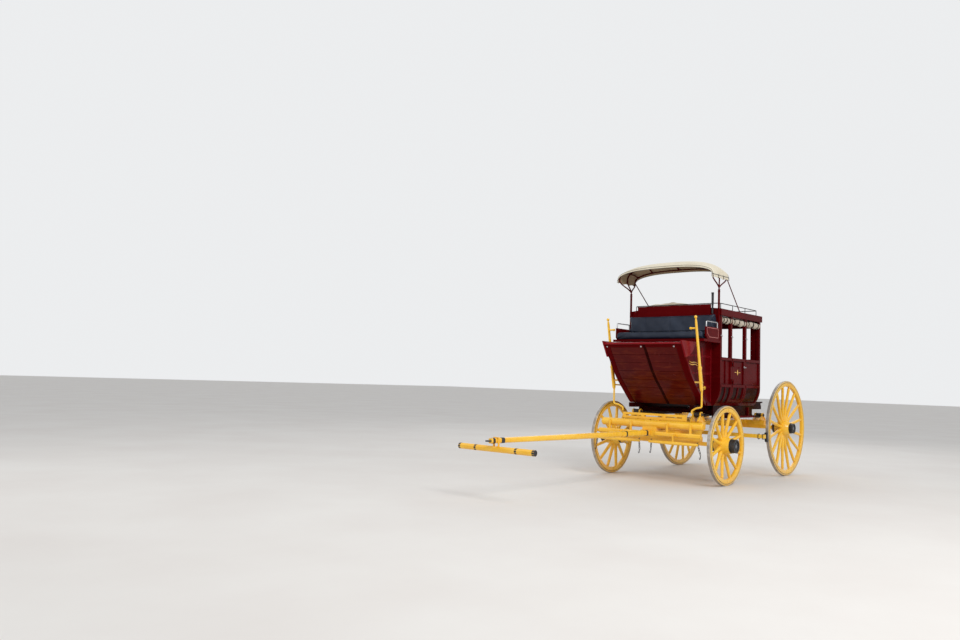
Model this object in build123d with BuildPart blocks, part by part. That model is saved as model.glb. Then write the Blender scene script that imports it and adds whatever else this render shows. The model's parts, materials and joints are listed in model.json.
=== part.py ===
from build123d import *
import os
from math import cos, radians, hypot

# A stagecoach on four wheels, in millimetres. +X is forward, +Y is the coach's left, +Z is up.
# The origin is on the ground, on the centre plane, midway between the pole's tip and the tail.

# Clearances
seat_gap = 0.3
running_gap = 0.3
swing_gap = 6.0
jack_clearance = 29.7
step_gap = 0.3

# Wheels
front_wheel_dia = 1120.0
rear_wheel_dia = 1520.0
wheelbase = 2200.0
track = 1880.0
tyre_width = 46.0
tyre_thick = 28.0
felloe_width = 52.0
felloe_depth = 62.0
spoke_dish = 46.0
spoke_foot_width = 46.0
spoke_foot_thick = 60.0
spoke_waist_width = 33.0
spoke_waist_thick = 36.0
spoke_tip_width = 30.0
spoke_tip_thick = 34.0
nave_radius = 124.0
nave_inner_reach = 190.0
nave_outer_reach = 58.0
nave_inner_radius = 84.0
nave_band_width = 34.0
front_cap_radius = 98.0
rear_cap_radius = 80.0
front_cap_length = 99.0
rear_cap_length = 75.0
nave_belly = 84.0
nave_lip = 8.0
cap_ring = 2.0
cap_waist = 5.0
cap_ring_width = 18.0
cap_dish = 26.0
cap_nut_inset = 6.0
cap_hollow = 30.0
cap_clearance = 10.0
axle_arm_radius = 30.0
axle_collar_radius = 52.0
axle_collar_width = 24.0
felloe_sides = 48
turned_sides = 24

# Running gear
axle_size = 54.0
bed_height = 63.0
bed_width = 100.0
futchell_size = 84.0
futchell_tail_x = -380.0
futchell_tail_y = 300.0
futchell_jaw_reach = 240.0
front_bed_half = 560.0
rear_bed_half = 600.0
turntable_ring_thick = 15.0
turntable_radius = 235.0
turntable_ring_width = 60.0
kingpin_radius = 18.0
bolster_height = 105.0
bolster_width = 110.0
bolster_half = 600.0
perch_height = 60.0
perch_width = 70.0
side_perch_y = 270.0
jack_y = 500.0
jack_pin_radius = 22.0
jack_plate_thick = 14.0
jack_head = 40.0
jack_foot_half = 110.0
jack_foot_height = 24.0
jack_side_gap = 4.0
front_jack_rise = 145.0
rear_jack_rise = 120.0
brace_width = 84.0
brace_thick = 28.0
pole_reach = 4000.0
pole_butt_radius = 41.0
pole_tip_radius = 30.0
eye_offset = 34.0
eye_radius = 30.0
eye_thick = 16.0
eye_bore = 11.0
splinter_bar_size = 110.0
splinter_bar_x = 455.0
splinter_bar_rise = 30.0
splinter_bar_half = 820.0
draught_iron_spread = 180.0
trace_bar_size = 62.0
trace_bar_x = 535.0
trace_bar_drop = 129.0
swingletree_x = 640.0
swingletree_drop = 110.0
swingletree_half = 375.0
swingletree_y = 450.0
swingletree_radius = 24.0
swingletree_tip = 16.0
link_radius = 9.0
crossbar_x = 370.0
crossbar_half = 510.0
crossbar_bar = 34.0
crossbar_depth = 50.0
crossbar_rise = 151.0
lead_bar_half = 560.0
lead_bar_radius = 33.0
rear_bed_height = 80.0
brake_beam_drop = 159.3
brake_beam_gap = 120.0
brake_beam_size = 58.0

# Body
body_width = 1500.0
body_tuck = 110.0
cabin_front_back_of_axle = 195.0
cabin_length = 1435.0
bottom_rail_height = 42.0
mid_rail_rise = 275.0
mid_rail_height = 40.0
sill_rise = 672.0
sill_height = 40.0
window_head_rise = 1290.0
eave_rise = 1330.0
fascia_height = 105.0
fascia_thick = 19.7
fascia_overhang = 20.0
roof_thick = 24.0
roof_crown = 45.0
rib_depth = 46.0
rib_width = 50.0
small_rib_width = 28.0
panel_inset = 18.0
panel_thick = 16.0
rail_proud = 6.0
rib_step = 4.0
wall_thick = 34.0
floor_thick = 30.0
aisle_thick = 10.0
sill_beam_height = 66.0
sill_beam_width = 70.0
bearer_height = 60.0
bearer_width = 80.0
skirt_half = 620.0
skirt_thick = 22.0
skirt_drop = 190.0
skirt_front_x = -250.0
underframe_front_x = 190.0
bearer_xs = (-340.0, -980.0, -1510.0)
brace_front_run = 300.0
brace_rear_run = 640.0
door_front_post = 570.0
door_rear_post = 1080.0
door_hinge_radius = 9.0
bench_height = 400.0
bench_depth = 345.0
bench_cushion = 80.0
platform_length = 560.0
platform_thick = 60.0
platform_half = 560.0
step_front = 800.0
step_rear = 1450.0
step_drop = 180.0
step_out = 740.0
step_thick = 26.0

# Boot, driver's seat and canopy
boot_half = 625.0
boot_wall = 30.0
dash_top_x = 755.0
dash_top_rise = 855.0
dash_knee_x = 456.0
dash_knee_rise = 414.0
dash_knee_cut = 90.0
dash_foot_x = 0.0
dash_thick = 34.0
wing_thick = 22.0
wing_length = 435.0
wing_rise = 45.0
wing_drop = 185.0
seat_half = 750.0
seat_front_x = 330.0
seat_board_rise = 915.0
seat_board_thick = 35.0
seat_cushion_height = 108.0
seat_back_rise = 1345.0
seat_arm_rise = 1130.0
seat_arm_thick = 24.0
seat_arm_back = 72.0
seat_rail_rise = 75.0
seat_rail_radius = 9.0
header_rise = 1490.0
header_half = 610.0
canopy_front_x = 160.0
canopy_rear_x = -350.0
canopy_overhang = 35.0
canopy_end_rise = 1840.0
canopy_shoulder_rise = 2060.0
canopy_top_rise = 2115.0
canopy_corner = 170.0
canopy_shell = 14.0
canopy_fork_rise = 1690.0
canopy_post_size = 32.0
canopy_post_inset = 12.0
canopy_bar = 22.0
canopy_stay_x = -870.0
canopy_stay_radius = 8.0
lever_y = 720.0
lever_foot_x = 320.0
lever_foot_rise = 200.0
lever_top_x = 530.0
lever_top_rise = 1240.0
lever_thick = 16.0
lever_width = 54.0
lever_tip_width = 30.0
lever_knob_radius = 22.0
lever_crank_radius = 13.0
lever_crank_drop = 25.0
lever_crank_y = 565.0

# Places worked out from the sizes above
rear_reach = wheelbase + rear_wheel_dia / 2
front_axle_x = (rear_reach - pole_reach - eye_offset - eye_radius) / 2
rear_axle_x = front_axle_x - wheelbase
front_axle_z = front_wheel_dia / 2
rear_axle_z = rear_wheel_dia / 2
wheel_y = track / 2
body_half = body_width / 2
cabin_front_x = front_axle_x - cabin_front_back_of_axle
cabin_rear_x = cabin_front_x - cabin_length
front_bed_top = front_axle_z + axle_size / 2 + bed_height
futchell_top = front_bed_top + futchell_size
bolster_bottom = futchell_top + 2 * turntable_ring_thick + seat_gap
bolster_top = bolster_bottom + bolster_height
bottom_rail_z = bolster_top + front_jack_rise + jack_clearance + sill_beam_height
mid_rail_z = bottom_rail_z + mid_rail_rise
sill_z = bottom_rail_z + sill_rise
window_head_z = bottom_rail_z + window_head_rise
eave_z = bottom_rail_z + eave_rise
tuck_drop = mid_rail_z - bottom_rail_z
tuck_radius = (tuck_drop ** 2 + body_tuck ** 2) / (2 * body_tuck)
rear_bed_top = rear_axle_z + axle_size / 2 + rear_bed_height
floor_z = bottom_rail_z
sill_beam_bottom = bottom_rail_z - sill_beam_height
bearer_bottom = sill_beam_bottom - bearer_height
roof_bottom = eave_z + fascia_height - 40.0
roof_edge_z = roof_bottom + roof_thick

os.makedirs("parts", exist_ok=True)


def keep(builder, name):
    """Label one finished sub-part and write its STEP file."""
    builder.part.label = name
    export_step(builder.part, f"parts/{name}.step")


def keep_pair(builder, name):
    """Keep a left-hand sub-part and its mirror image on the right."""
    keep(builder, f"{name}_left")
    with BuildPart() as other:
        add(builder.part)
        mirror(about=Plane.XZ, mode=Mode.REPLACE)
    keep(other, f"{name}_right")


def slab(x, y, z):
    """A box between the low and high values of each of its three pairs."""
    centre = ((x[0] + x[1]) / 2, (y[0] + y[1]) / 2, (z[0] + z[1]) / 2)
    with Locations(centre):
        Box(abs(x[1] - x[0]), abs(y[1] - y[0]), abs(z[1] - z[0]))


def rod(start, end, radius):
    """A round bar from one point to another."""
    run = Vector(*end) - Vector(*start)
    with Locations(Plane(origin=start, z_dir=run)):
        Cylinder(radius, run.length, align=(Align.CENTER, Align.CENTER, Align.MIN))


def bar(start, end, radius, sides=8):
    """A straight bar of even-sided section, its flats at the radius."""
    run = Vector(*end) - Vector(*start)
    with BuildSketch(Plane(origin=start, z_dir=run)) as section:
        RegularPolygon(radius, sides, major_radius=False, rotation=180 / sides)
    extrude(section.sketch, amount=run.length)


def plate(plane, points, thick):
    """A flat plate with straight edges, drawn on a plane and thickened along its normal."""
    with BuildSketch(plane) as outline:
        with BuildLine():
            Polyline(*points, close=True)
        make_face()
    extrude(outline.sketch, amount=thick)


def bar_xz(start, end, y, width, thick):
    """A flat bar between two (x, z) points, its broad face to the side and centred on y."""
    run = hypot(end[0] - start[0], end[1] - start[1])
    along = ((end[0] - start[0]) / run, (end[1] - start[1]) / run)
    across = (-along[1] * width / 2, along[0] * width / 2)
    corners = [
        (start[0] + across[0], start[1] + across[1]),
        (end[0] + across[0], end[1] + across[1]),
        (end[0] - across[0], end[1] - across[1]),
        (start[0] - across[0], start[1] - across[1]),
    ]
    plate(Plane.XZ.offset(-y - thick / 2), corners, thick)


def tuck_y(z):
    """Half width of the body at height z: full above the middle rail, drawn in on an arc below."""
    drop = max(0.0, mid_rail_z - z)
    return body_half - tuck_radius + (tuck_radius ** 2 - drop ** 2) ** 0.5


def side_strip(x, out, inner, z, side=1):
    """A strip of the body's side, from one station to another and from one height to another.

    `out` and `inner` say how far its faces lie outside the body's own curved outline.
    """
    low, high = z
    knee = min(high, mid_rail_z)
    middle = (knee + low) / 2
    plane = Plane(origin=(min(x), 0, 0), x_dir=(0, side, 0), z_dir=(side, 0, 0))
    with BuildSketch(plane) as strip:
        with BuildLine():
            if low >= mid_rail_z:
                Line((body_half + out, high), (body_half + out, low))
                Line((body_half + out, low), (body_half + inner, low))
                Line((body_half + inner, low), (body_half + inner, high))
            else:
                if high > knee:
                    Line((body_half + out, high), (body_half + out, knee))
                ThreePointArc(
                    (tuck_y(knee) + out, knee), (tuck_y(middle) + out, middle), (tuck_y(low) + out, low)
                )
                Line((tuck_y(low) + out, low), (tuck_y(low) + inner, low))
                ThreePointArc(
                    (tuck_y(low) + inner, low), (tuck_y(middle) + inner, middle), (tuck_y(knee) + inner, knee)
                )
                if high > knee:
                    Line((body_half + inner, knee), (body_half + inner, high))
            Line((tuck_y(high) + inner, high), (tuck_y(high) + out, high))
        make_face()
    extrude(strip.sketch, amount=side * abs(x[1] - x[0]))


# Wheels, each with its axle line along Y
wheel_table = [
    # name, axle x, axle z, diameter, spokes, cap radius, cap length
    ("front", front_axle_x, front_axle_z, front_wheel_dia, 12, front_cap_radius, front_cap_length),
    ("rear", rear_axle_x, rear_axle_z, rear_wheel_dia, 16, rear_cap_radius, rear_cap_length),
]


def spoke_for(diameter):
    """One tapered spoke, drawn along +X with the wheel's outer side at +Z."""
    tip_radius = diameter / 2 - tyre_thick - felloe_depth + 8.0
    foot_radius = nave_radius - 22.0
    stations = [
        # radius, offset outwards, width, thickness
        (foot_radius, -spoke_dish, spoke_foot_width, spoke_foot_thick),
        (foot_radius + 110.0, -spoke_dish * 0.75, spoke_waist_width, spoke_waist_thick),
        (tip_radius, 0.0, spoke_tip_width, spoke_tip_thick),
    ]
    with BuildPart() as spoke:
        for radius, offset, width, thickness in stations:
            with BuildSketch(Plane(origin=(radius, 0, offset), x_dir=(0, 1, 0), z_dir=(1, 0, 0))):
                Rectangle(width, thickness)
                chamfer(vertices(), width * 0.27)
        loft(ruled=True)
    return spoke.part


for name, axle_x, axle_z, diameter, spokes, cap_radius, cap_length in wheel_table:
    hub = (axle_x, wheel_y, axle_z)
    face = Plane(origin=hub, x_dir=(1, 0, 0), z_dir=(0, 1, 0))
    profile = Plane(origin=hub, x_dir=(0, 1, 0), z_dir=(1, 0, 0))
    spin = Axis(hub, (0, 1, 0))
    rim_radius = diameter / 2 - tyre_thick
    spoke_part = spoke_for(diameter)

    with BuildPart() as tyre:
        with BuildSketch(profile):
            with Locations((0, rim_radius + tyre_thick / 2)):
                Rectangle(tyre_width, tyre_thick)
        revolve(axis=spin)
    keep_pair(tyre, f"tyre_{name}")

    with BuildPart() as wheel:
        with BuildSketch(face.offset(-felloe_width / 2)):
            RegularPolygon(rim_radius, felloe_sides)
            RegularPolygon(rim_radius - felloe_depth, felloe_sides, mode=Mode.SUBTRACT)
        extrude(amount=felloe_width)
        nave_stations = [
            # offset outwards, radius
            (-nave_inner_reach, nave_inner_radius),
            (-nave_inner_reach + nave_band_width, nave_inner_radius + 2.0),
            (-spoke_dish - nave_belly / 2, nave_radius),
            (-spoke_dish + nave_belly / 2, nave_radius),
            (nave_outer_reach, cap_radius + nave_lip),
        ]
        for offset, radius in nave_stations:
            with BuildSketch(face.offset(offset)):
                RegularPolygon(radius, turned_sides)
        loft(ruled=True)
        step = 360.0 / spokes
        turns = [Location((0, 0, 0), (0, 0, step * (index + 0.5))) for index in range(spokes)]
        add([face.location * turn * spoke_part for turn in turns])
        with Locations(face.offset(-nave_inner_reach - 1.0)):
            Cylinder(
                axle_arm_radius + running_gap,
                nave_inner_reach + nave_outer_reach + 2.0,
                align=(Align.CENTER, Align.CENTER, Align.MIN),
                mode=Mode.SUBTRACT,
            )
    keep_pair(wheel, f"wheel_{name}")

    with BuildPart() as hub_cap:
        outer = cap_radius + cap_ring
        waist = cap_radius - cap_waist
        lip = cap_ring_width
        for stations in (
            ((0.0, outer), (lip, outer)),
            ((lip, waist), (cap_length - lip, waist)),
            ((cap_length - lip, outer), (cap_length, outer)),
        ):
            for offset, radius in stations:
                with BuildSketch(face.offset(nave_outer_reach + offset)):
                    RegularPolygon(radius, turned_sides)
            loft(ruled=True)
        with BuildSketch(face.offset(nave_outer_reach + cap_length)):
            RegularPolygon(cap_radius * 0.78, turned_sides)
        extrude(amount=-cap_dish, mode=Mode.SUBTRACT)
        with BuildSketch(face.offset(nave_outer_reach + cap_length - cap_dish)):
            RegularPolygon(cap_radius * 0.38, 6)
        extrude(amount=cap_dish - cap_nut_inset)
        with BuildSketch(face.offset(nave_outer_reach)):
            Circle(axle_arm_radius + cap_clearance)
        extrude(amount=cap_hollow, mode=Mode.SUBTRACT)
    keep_pair(hub_cap, f"hub_cap_{name}")

# Axles: an iron bar between the wheels, a timber bed on it and a round arm through each nave
arm_end = wheel_y + nave_outer_reach + 22.0
collar_end = wheel_y - nave_inner_reach - 1.0
for name, axle_x, axle_z, bed_top, bed_half in [
    ("front_axle", front_axle_x, front_axle_z, front_bed_top, front_bed_half),
    ("rear_axle", rear_axle_x, rear_axle_z, rear_bed_top, rear_bed_half),
]:
    with BuildPart() as axle:
        slab(
            (axle_x - axle_size / 2, axle_x + axle_size / 2),
            (-collar_end, collar_end),
            (axle_z - axle_size / 2, axle_z + axle_size / 2),
        )
        slab(
            (axle_x - bed_width / 2, axle_x + bed_width / 2),
            (-bed_half, bed_half),
            (axle_z + axle_size / 2, bed_top),
        )
        for side in (1, -1):
            collar_start = side * (collar_end - axle_collar_width)
            rod((axle_x, collar_start, axle_z), (axle_x, side * arm_end, axle_z), axle_arm_radius)
            bar((axle_x, collar_start, axle_z), (axle_x, side * collar_end, axle_z), axle_collar_radius, 12)
        if name == "front_axle":
            with Locations((axle_x, 0, bed_top)):
                Hole(kingpin_radius + running_gap, depth=bed_height - 4.0)
    keep(axle, name)

# Front carriage, which turns on the kingpin
with BuildPart() as turntable:
    with BuildSketch(Plane.XY.offset(futchell_top)):
        with Locations((front_axle_x, 0)):
            RegularPolygon(turntable_radius, turned_sides)
            RegularPolygon(turntable_radius - turntable_ring_width, turned_sides, mode=Mode.SUBTRACT)
    extrude(amount=turntable_ring_thick)
keep(turntable, "turntable")

jaw_y = pole_butt_radius + seat_gap
futchell_outer_y = jaw_y + futchell_size
futchell_jaw_x = front_axle_x + futchell_jaw_reach
futchell_rear_x = front_axle_x + futchell_tail_x
futchell_front_x = front_axle_x + splinter_bar_x + splinter_bar_size / 2 + 30.0
with BuildPart() as futchells:
    with BuildSketch(Plane.XY.offset(front_bed_top)):
        with BuildLine():
            Polyline(
                (futchell_rear_x, futchell_tail_y),
                (futchell_rear_x, futchell_tail_y + futchell_size),
                (futchell_jaw_x, futchell_outer_y),
                (futchell_front_x, futchell_outer_y),
                (futchell_front_x, jaw_y),
                (futchell_jaw_x, jaw_y),
                close=True,
            )
        make_face()
        mirror(about=Plane.XZ)
    extrude(amount=futchell_size)
    slab(
        (futchell_rear_x + 20.0, futchell_rear_x + 70.0),
        (-futchell_tail_y - 10.0, futchell_tail_y + 10.0),
        (front_bed_top, front_bed_top + futchell_size),
    )
keep(futchells, "futchells")

pole_z = front_bed_top + futchell_size / 2
pole_start_x = front_axle_x + 120.0
pole_tip_x = front_axle_x + pole_reach
pole_taper_x = futchell_front_x + 40.0
with BuildPart() as pole:
    slab(
        (pole_start_x, futchell_front_x),
        (-pole_butt_radius, pole_butt_radius),
        (pole_z - pole_butt_radius, pole_z + pole_butt_radius),
    )
    chamfer(pole.edges().filter_by(Axis.X), pole_butt_radius * 0.3)
    for x, radius in (
        (futchell_front_x, pole_butt_radius),
        (pole_taper_x, pole_butt_radius),
        (pole_tip_x, pole_tip_radius),
    ):
        with BuildSketch(Plane(origin=(x, 0, pole_z), x_dir=(0, 1, 0), z_dir=(1, 0, 0))):
            RegularPolygon(radius, 8, major_radius=False, rotation=22.5)
    loft(ruled=True)
keep(pole, "pole")

splinter_z = futchell_top + splinter_bar_rise + splinter_bar_size / 2
bar_x = front_axle_x + splinter_bar_x
with BuildPart() as splinter_bar:
    bar_ends = ((bar_x, -splinter_bar_half, splinter_z), (bar_x, splinter_bar_half, splinter_z))
    bar(*bar_ends, splinter_bar_size / 2, 16)
    end_faces = splinter_bar.faces().filter_by(Axis.Y)
    chamfer(end_faces.edges(), splinter_bar_size * 0.12)
    slab(
        (bar_x - 45.0, bar_x + 45.0),
        (-jaw_y - futchell_size + 10.0, jaw_y + futchell_size - 10.0),
        (futchell_top, splinter_z),
    )
keep(splinter_bar, "splinter_bar")

# Bars and irons that the horses draw by
near_trace_y = futchell_outer_y
trace_bar_z = splinter_z - trace_bar_drop
swingletree_z = trace_bar_z - swingletree_drop
with BuildPart() as trace_bar:
    slab(
        (front_axle_x + trace_bar_x - trace_bar_size / 2, front_axle_x + trace_bar_x + trace_bar_size / 2),
        (near_trace_y, splinter_bar_half),
        (trace_bar_z - trace_bar_size / 2, trace_bar_z + trace_bar_size / 2),
    )
    fillet(trace_bar.edges().filter_by(Axis.Y), trace_bar_size * 0.3)
    mirror(about=Plane.XZ)
keep(trace_bar, "trace_bars")

tree_x = front_axle_x + swingletree_x
with BuildPart() as swingletrees:
    for side in (1, -1):
        middle = (tree_x, side * swingletree_y, swingletree_z)
        for reach, radius in (
            (-swingletree_half, swingletree_tip),
            (0.0, swingletree_radius),
            (swingletree_half, swingletree_tip),
        ):
            station = (tree_x, side * swingletree_y + reach, swingletree_z)
            with BuildSketch(Plane(origin=station, x_dir=(1, 0, 0), z_dir=(0, 1, 0))):
                RegularPolygon(radius, 8, major_radius=False, rotation=22.5)
        loft(ruled=True)
        link_x = front_axle_x + trace_bar_x + trace_bar_size / 2
        link_end = tree_x + link_radius
        bar((link_x, middle[1], trace_bar_z), (link_end, middle[1], trace_bar_z), link_radius)
        bar(middle, (tree_x, middle[1], trace_bar_z), link_radius)
keep(swingletrees, "swingletrees")

with BuildPart() as draught_irons:
    for side in (1, -1):
        for offset in (-draught_iron_spread, draught_iron_spread):
            y = side * (swingletree_y + 25.0) + offset
            plate_x = bar_x + splinter_bar_size / 2 + seat_gap
            slab(
                (plate_x, plate_x + 18.0),
                (y - 14.0, y + 14.0),
                (trace_bar_z + trace_bar_size / 2, splinter_z + 30.0),
            )
keep(draught_irons, "draught_irons")


def pole_radius_at(x):
    """The pole's radius at a station along it, on its tapered length."""
    share = (x - pole_taper_x) / (pole_tip_x - pole_taper_x)
    return pole_butt_radius + (pole_tip_radius - pole_butt_radius) * share


lead_x = pole_tip_x - 110.0
lead_z = pole_z - pole_tip_radius - lead_bar_radius - 34.0
with BuildPart() as lead_bar:
    bar((lead_x, -lead_bar_half, lead_z), (lead_x, lead_bar_half, lead_z), lead_bar_radius)
    yoke_inner = pole_radius_at(lead_x - 14.0) + seat_gap
    for side in (1, -1):
        slab(
            (lead_x - 14.0, lead_x + 14.0),
            (side * yoke_inner, side * (yoke_inner + 8.0)),
            (lead_z, pole_z + yoke_inner + 8.0),
        )
    slab(
        (lead_x - 14.0, lead_x + 14.0),
        (-yoke_inner, yoke_inner),
        (pole_z + yoke_inner, pole_z + yoke_inner + 8.0),
    )
keep(lead_bar, "lead_bar")

# Iron eye on the pole's end, with an upright hole
eye_x = pole_tip_x + eye_offset
with BuildPart() as pole_eye:
    with BuildSketch(Plane.XY.offset(pole_z - eye_thick / 2)) as eye:
        with Locations((eye_x, 0)):
            Circle(eye_radius)
        with Locations(((pole_tip_x + eye_x) / 2, 0)):
            Rectangle(eye_x - pole_tip_x, 44.0)
        with Locations((eye_x, 0)):
            Circle(eye_bore, mode=Mode.SUBTRACT)
    extrude(eye.sketch, amount=eye_thick)
keep(pole_eye, "pole_eye")

# Open bar across the front of the carriage, in front of the jacks
cross_x = (front_axle_x + crossbar_x - crossbar_bar * 0.75, front_axle_x + crossbar_x + crossbar_bar * 0.75)
cross_low = futchell_top + crossbar_rise
cross_high = cross_low + crossbar_depth
cross_block = 50.0
cross_stay_y = (60.0, 100.0)
with BuildPart() as crossbar:
    for low in (cross_low, cross_high):
        slab(cross_x, (-crossbar_half, crossbar_half), (low, low + crossbar_bar))
    for y in (-crossbar_half, -cross_block * 4, cross_block * 3, crossbar_half - cross_block):
        slab(cross_x, (y, y + cross_block), (cross_low, cross_high))
    for side in (1, -1):
        slab(cross_x, (side * cross_stay_y[0], side * cross_stay_y[1]), (futchell_top, cross_low))
keep(crossbar, "crossbar")

# Fixed carriage: bolster, jacks, perches and braces
with BuildPart() as bolster:
    slab(
        (front_axle_x - bolster_width / 2, front_axle_x + bolster_width / 2),
        (-bolster_half, bolster_half),
        (bolster_bottom, bolster_top),
    )
    with BuildSketch(Plane.XY.offset(bolster_bottom - turntable_ring_thick)) as ring:
        with Locations((front_axle_x, 0)):
            RegularPolygon(turntable_radius, turned_sides)
            RegularPolygon(turntable_radius - turntable_ring_width, turned_sides, mode=Mode.SUBTRACT)
    extrude(ring.sketch, amount=turntable_ring_thick)
    pin_foot_z = front_bed_top - bed_height + 12.0
    pin_flat = kingpin_radius * cos(radians(15))
    bar((front_axle_x, 0, pin_foot_z), (front_axle_x, 0, bolster_bottom), pin_flat, 12)
keep(bolster, "bolster")

perch_top = bolster_top
perch_front = front_axle_x - bolster_width / 2
perch_rear = rear_axle_x + bed_width / 2
with BuildPart() as perch:
    for y in (-side_perch_y, 0.0, side_perch_y):
        slab(
            (perch_rear, perch_front),
            (y - perch_width / 2, y + perch_width / 2),
            (perch_top - perch_height, perch_top),
        )
    for share in (0.25, 0.75):
        x = perch_front + (perch_rear - perch_front) * share
        slab((x - 40.0, x + 40.0), (-side_perch_y, side_perch_y), (perch_top - perch_height, perch_top))
keep(perch, "perch")

for name, axle_x, foot_z, rise in [
    ("front_jacks", front_axle_x, bolster_top, front_jack_rise),
    ("rear_jacks", rear_axle_x, rear_bed_top, rear_jack_rise),
]:
    pin_z = foot_z + rise - jack_head
    with BuildPart() as jacks:
        for side in (1, -1):
            for offset in (-1, 1):
                inner = side * jack_y + offset * (brace_width / 2 + jack_side_gap)
                plane_y = inner if offset > 0 else inner - jack_plate_thick
                outline = [
                    (axle_x - jack_foot_half, foot_z),
                    (axle_x + jack_foot_half, foot_z),
                    (axle_x + jack_foot_half, foot_z + jack_foot_height),
                    (axle_x + jack_head, pin_z - jack_head * 0.4),
                    (axle_x - jack_head, pin_z - jack_head * 0.4),
                    (axle_x - jack_foot_half, foot_z + jack_foot_height),
                ]
                plane = Plane.XZ.offset(-plane_y - jack_plate_thick)
                plate(plane, outline, jack_plate_thick)
                with BuildSketch(plane) as head:
                    with Locations((axle_x, pin_z)):
                        RegularPolygon(jack_head, 16, major_radius=False)
                extrude(head.sketch, amount=jack_plate_thick)
            reach = brace_width / 2 + jack_side_gap + 1.0
            pin_y = side * jack_y
            rod((axle_x, pin_y - reach, pin_z), (axle_x, pin_y + reach, pin_z), jack_pin_radius)
    keep(jacks, name)

front_pin_z = bolster_top + front_jack_rise - jack_head
rear_pin_z = rear_bed_top + rear_jack_rise - jack_head
loop_inner = jack_pin_radius + seat_gap
loop_outer = loop_inner + 14.0
brace_top = bearer_bottom
with BuildPart() as braces:
    for side in (1, -1):
        plane = Plane.XZ.offset(-side * jack_y - brace_width / 2)
        strap = [
            (front_axle_x, front_pin_z - loop_inner),
            (front_axle_x - brace_front_run, brace_top),
            (rear_axle_x + brace_rear_run, brace_top),
            (rear_axle_x, rear_pin_z - loop_inner),
            (rear_axle_x, rear_pin_z - loop_outer),
            (rear_axle_x + brace_rear_run, brace_top - brace_thick),
            (front_axle_x - brace_front_run, brace_top - brace_thick),
            (front_axle_x, front_pin_z - loop_outer),
        ]
        plate(plane, strap, brace_width)
        for x, z in ((front_axle_x, front_pin_z), (rear_axle_x, rear_pin_z)):
            with BuildSketch(plane) as loop:
                with Locations((x, z)):
                    RegularPolygon(loop_outer, 16, major_radius=False)
            extrude(loop.sketch, amount=brace_width)
    for x, z in ((front_axle_x, front_pin_z), (rear_axle_x, rear_pin_z)):
        with Locations(Plane(origin=(x, -body_half, z), z_dir=(0, 1, 0))):
            Cylinder(
                loop_inner,
                body_width,
                align=(Align.CENTER, Align.CENTER, Align.MIN),
                mode=Mode.SUBTRACT,
            )
keep(braces, "thoroughbraces")

# Under the body
frame_rear = cabin_rear_x - platform_length
frame_front = front_axle_x + underframe_front_x
skirt_front = front_axle_x + skirt_front_x
skirt_bottom = bottom_rail_z - skirt_drop
bearer_places = [front_axle_x + x for x in bearer_xs]
with BuildPart() as underframe:
    for side in (1, -1):
        y = side * jack_y
        slab(
            (frame_rear, frame_front),
            (y - sill_beam_width / 2, y + sill_beam_width / 2),
            (sill_beam_bottom, bottom_rail_z),
        )
    skirt_inner = skirt_half - skirt_thick
    for x in bearer_places:
        bearer_x = (x - bearer_width / 2, x + bearer_width / 2)
        slab(bearer_x, (-skirt_inner, skirt_inner), (bearer_bottom, sill_beam_bottom))
    for side in (1, -1):
        skirt_y = (side * skirt_inner, side * skirt_half)
        slab((cabin_rear_x, skirt_front), skirt_y, (skirt_bottom, bottom_rail_z))
keep(underframe, "underframe")

with BuildPart() as rear_platform:
    platform_z = (bottom_rail_z, bottom_rail_z + platform_thick)
    slab((frame_rear, cabin_rear_x), (-platform_half, platform_half), platform_z)
keep(rear_platform, "rear_platform")

step_x_front = front_axle_x - step_front
step_x_rear = front_axle_x - step_rear
step_z = bottom_rail_z - step_drop
step_in = skirt_half + step_gap
with BuildPart() as side_steps:
    slab((step_x_rear, step_x_front), (step_in, step_out), (step_z, step_z + step_thick))
    bracket_z = (step_z + step_thick, bottom_rail_z - step_thick)
    for x in (step_x_rear, step_x_front - step_thick):
        slab((x, x + step_thick), (step_in, step_in + step_thick), bracket_z)
    mirror(about=Plane.XZ)
keep(side_steps, "side_steps")

beam_x = rear_axle_x + rear_wheel_dia / 2 + brake_beam_gap
beam_half = brake_beam_size / 2
beam_z = perch_top - perch_height - brake_beam_drop
hanger_half = 16.0
block_gap = 12.0
with BuildPart() as brake_beam:
    slab(
        (beam_x - beam_half, beam_x + beam_half),
        (-wheel_y - 20.0, wheel_y + 20.0),
        (beam_z - beam_half, beam_z + beam_half),
    )
    for y in (-side_perch_y, side_perch_y):
        slab(
            (beam_x - hanger_half, beam_x + hanger_half),
            (y - hanger_half, y + hanger_half),
            (beam_z + beam_half, perch_top - perch_height),
        )
keep(brake_beam, "brake_beam")

with BuildPart() as brake_blocks:
    for side in (1, -1):
        slab(
            (rear_axle_x + rear_wheel_dia / 2 + block_gap, beam_x - beam_half),
            (side * (wheel_y - 40.0), side * (wheel_y + 20.0)),
            (beam_z - 90.0, beam_z + 60.0),
        )
keep(brake_blocks, "brake_blocks")

# Cabin
left_stations = {
    "front": cabin_front_x,
    "door_front": front_axle_x - door_front_post,
    "door_rear": front_axle_x - door_rear_post,
    "rear": cabin_rear_x,
}
post_centres = [
    left_stations["front"] - rib_width / 2,
    left_stations["door_front"],
    left_stations["door_rear"],
    left_stations["rear"] + rib_width / 2,
]
door_x = (post_centres[2] + rib_width / 2 + swing_gap, post_centres[1] - rib_width / 2 - swing_gap)
opening_x = (post_centres[2] + rib_width / 2, post_centres[1] - rib_width / 2)
bottom_rail_top = bottom_rail_z + bottom_rail_height
bench_top = floor_z + floor_thick + bench_height
bench_half = body_half - body_tuck - rib_depth - 5.0
front_bench = (cabin_front_x - wall_thick - bench_depth, cabin_front_x - wall_thick)
rear_bench = (cabin_rear_x + wall_thick, cabin_rear_x + wall_thick + bench_depth)
aisle_margin = 8.0

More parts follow.
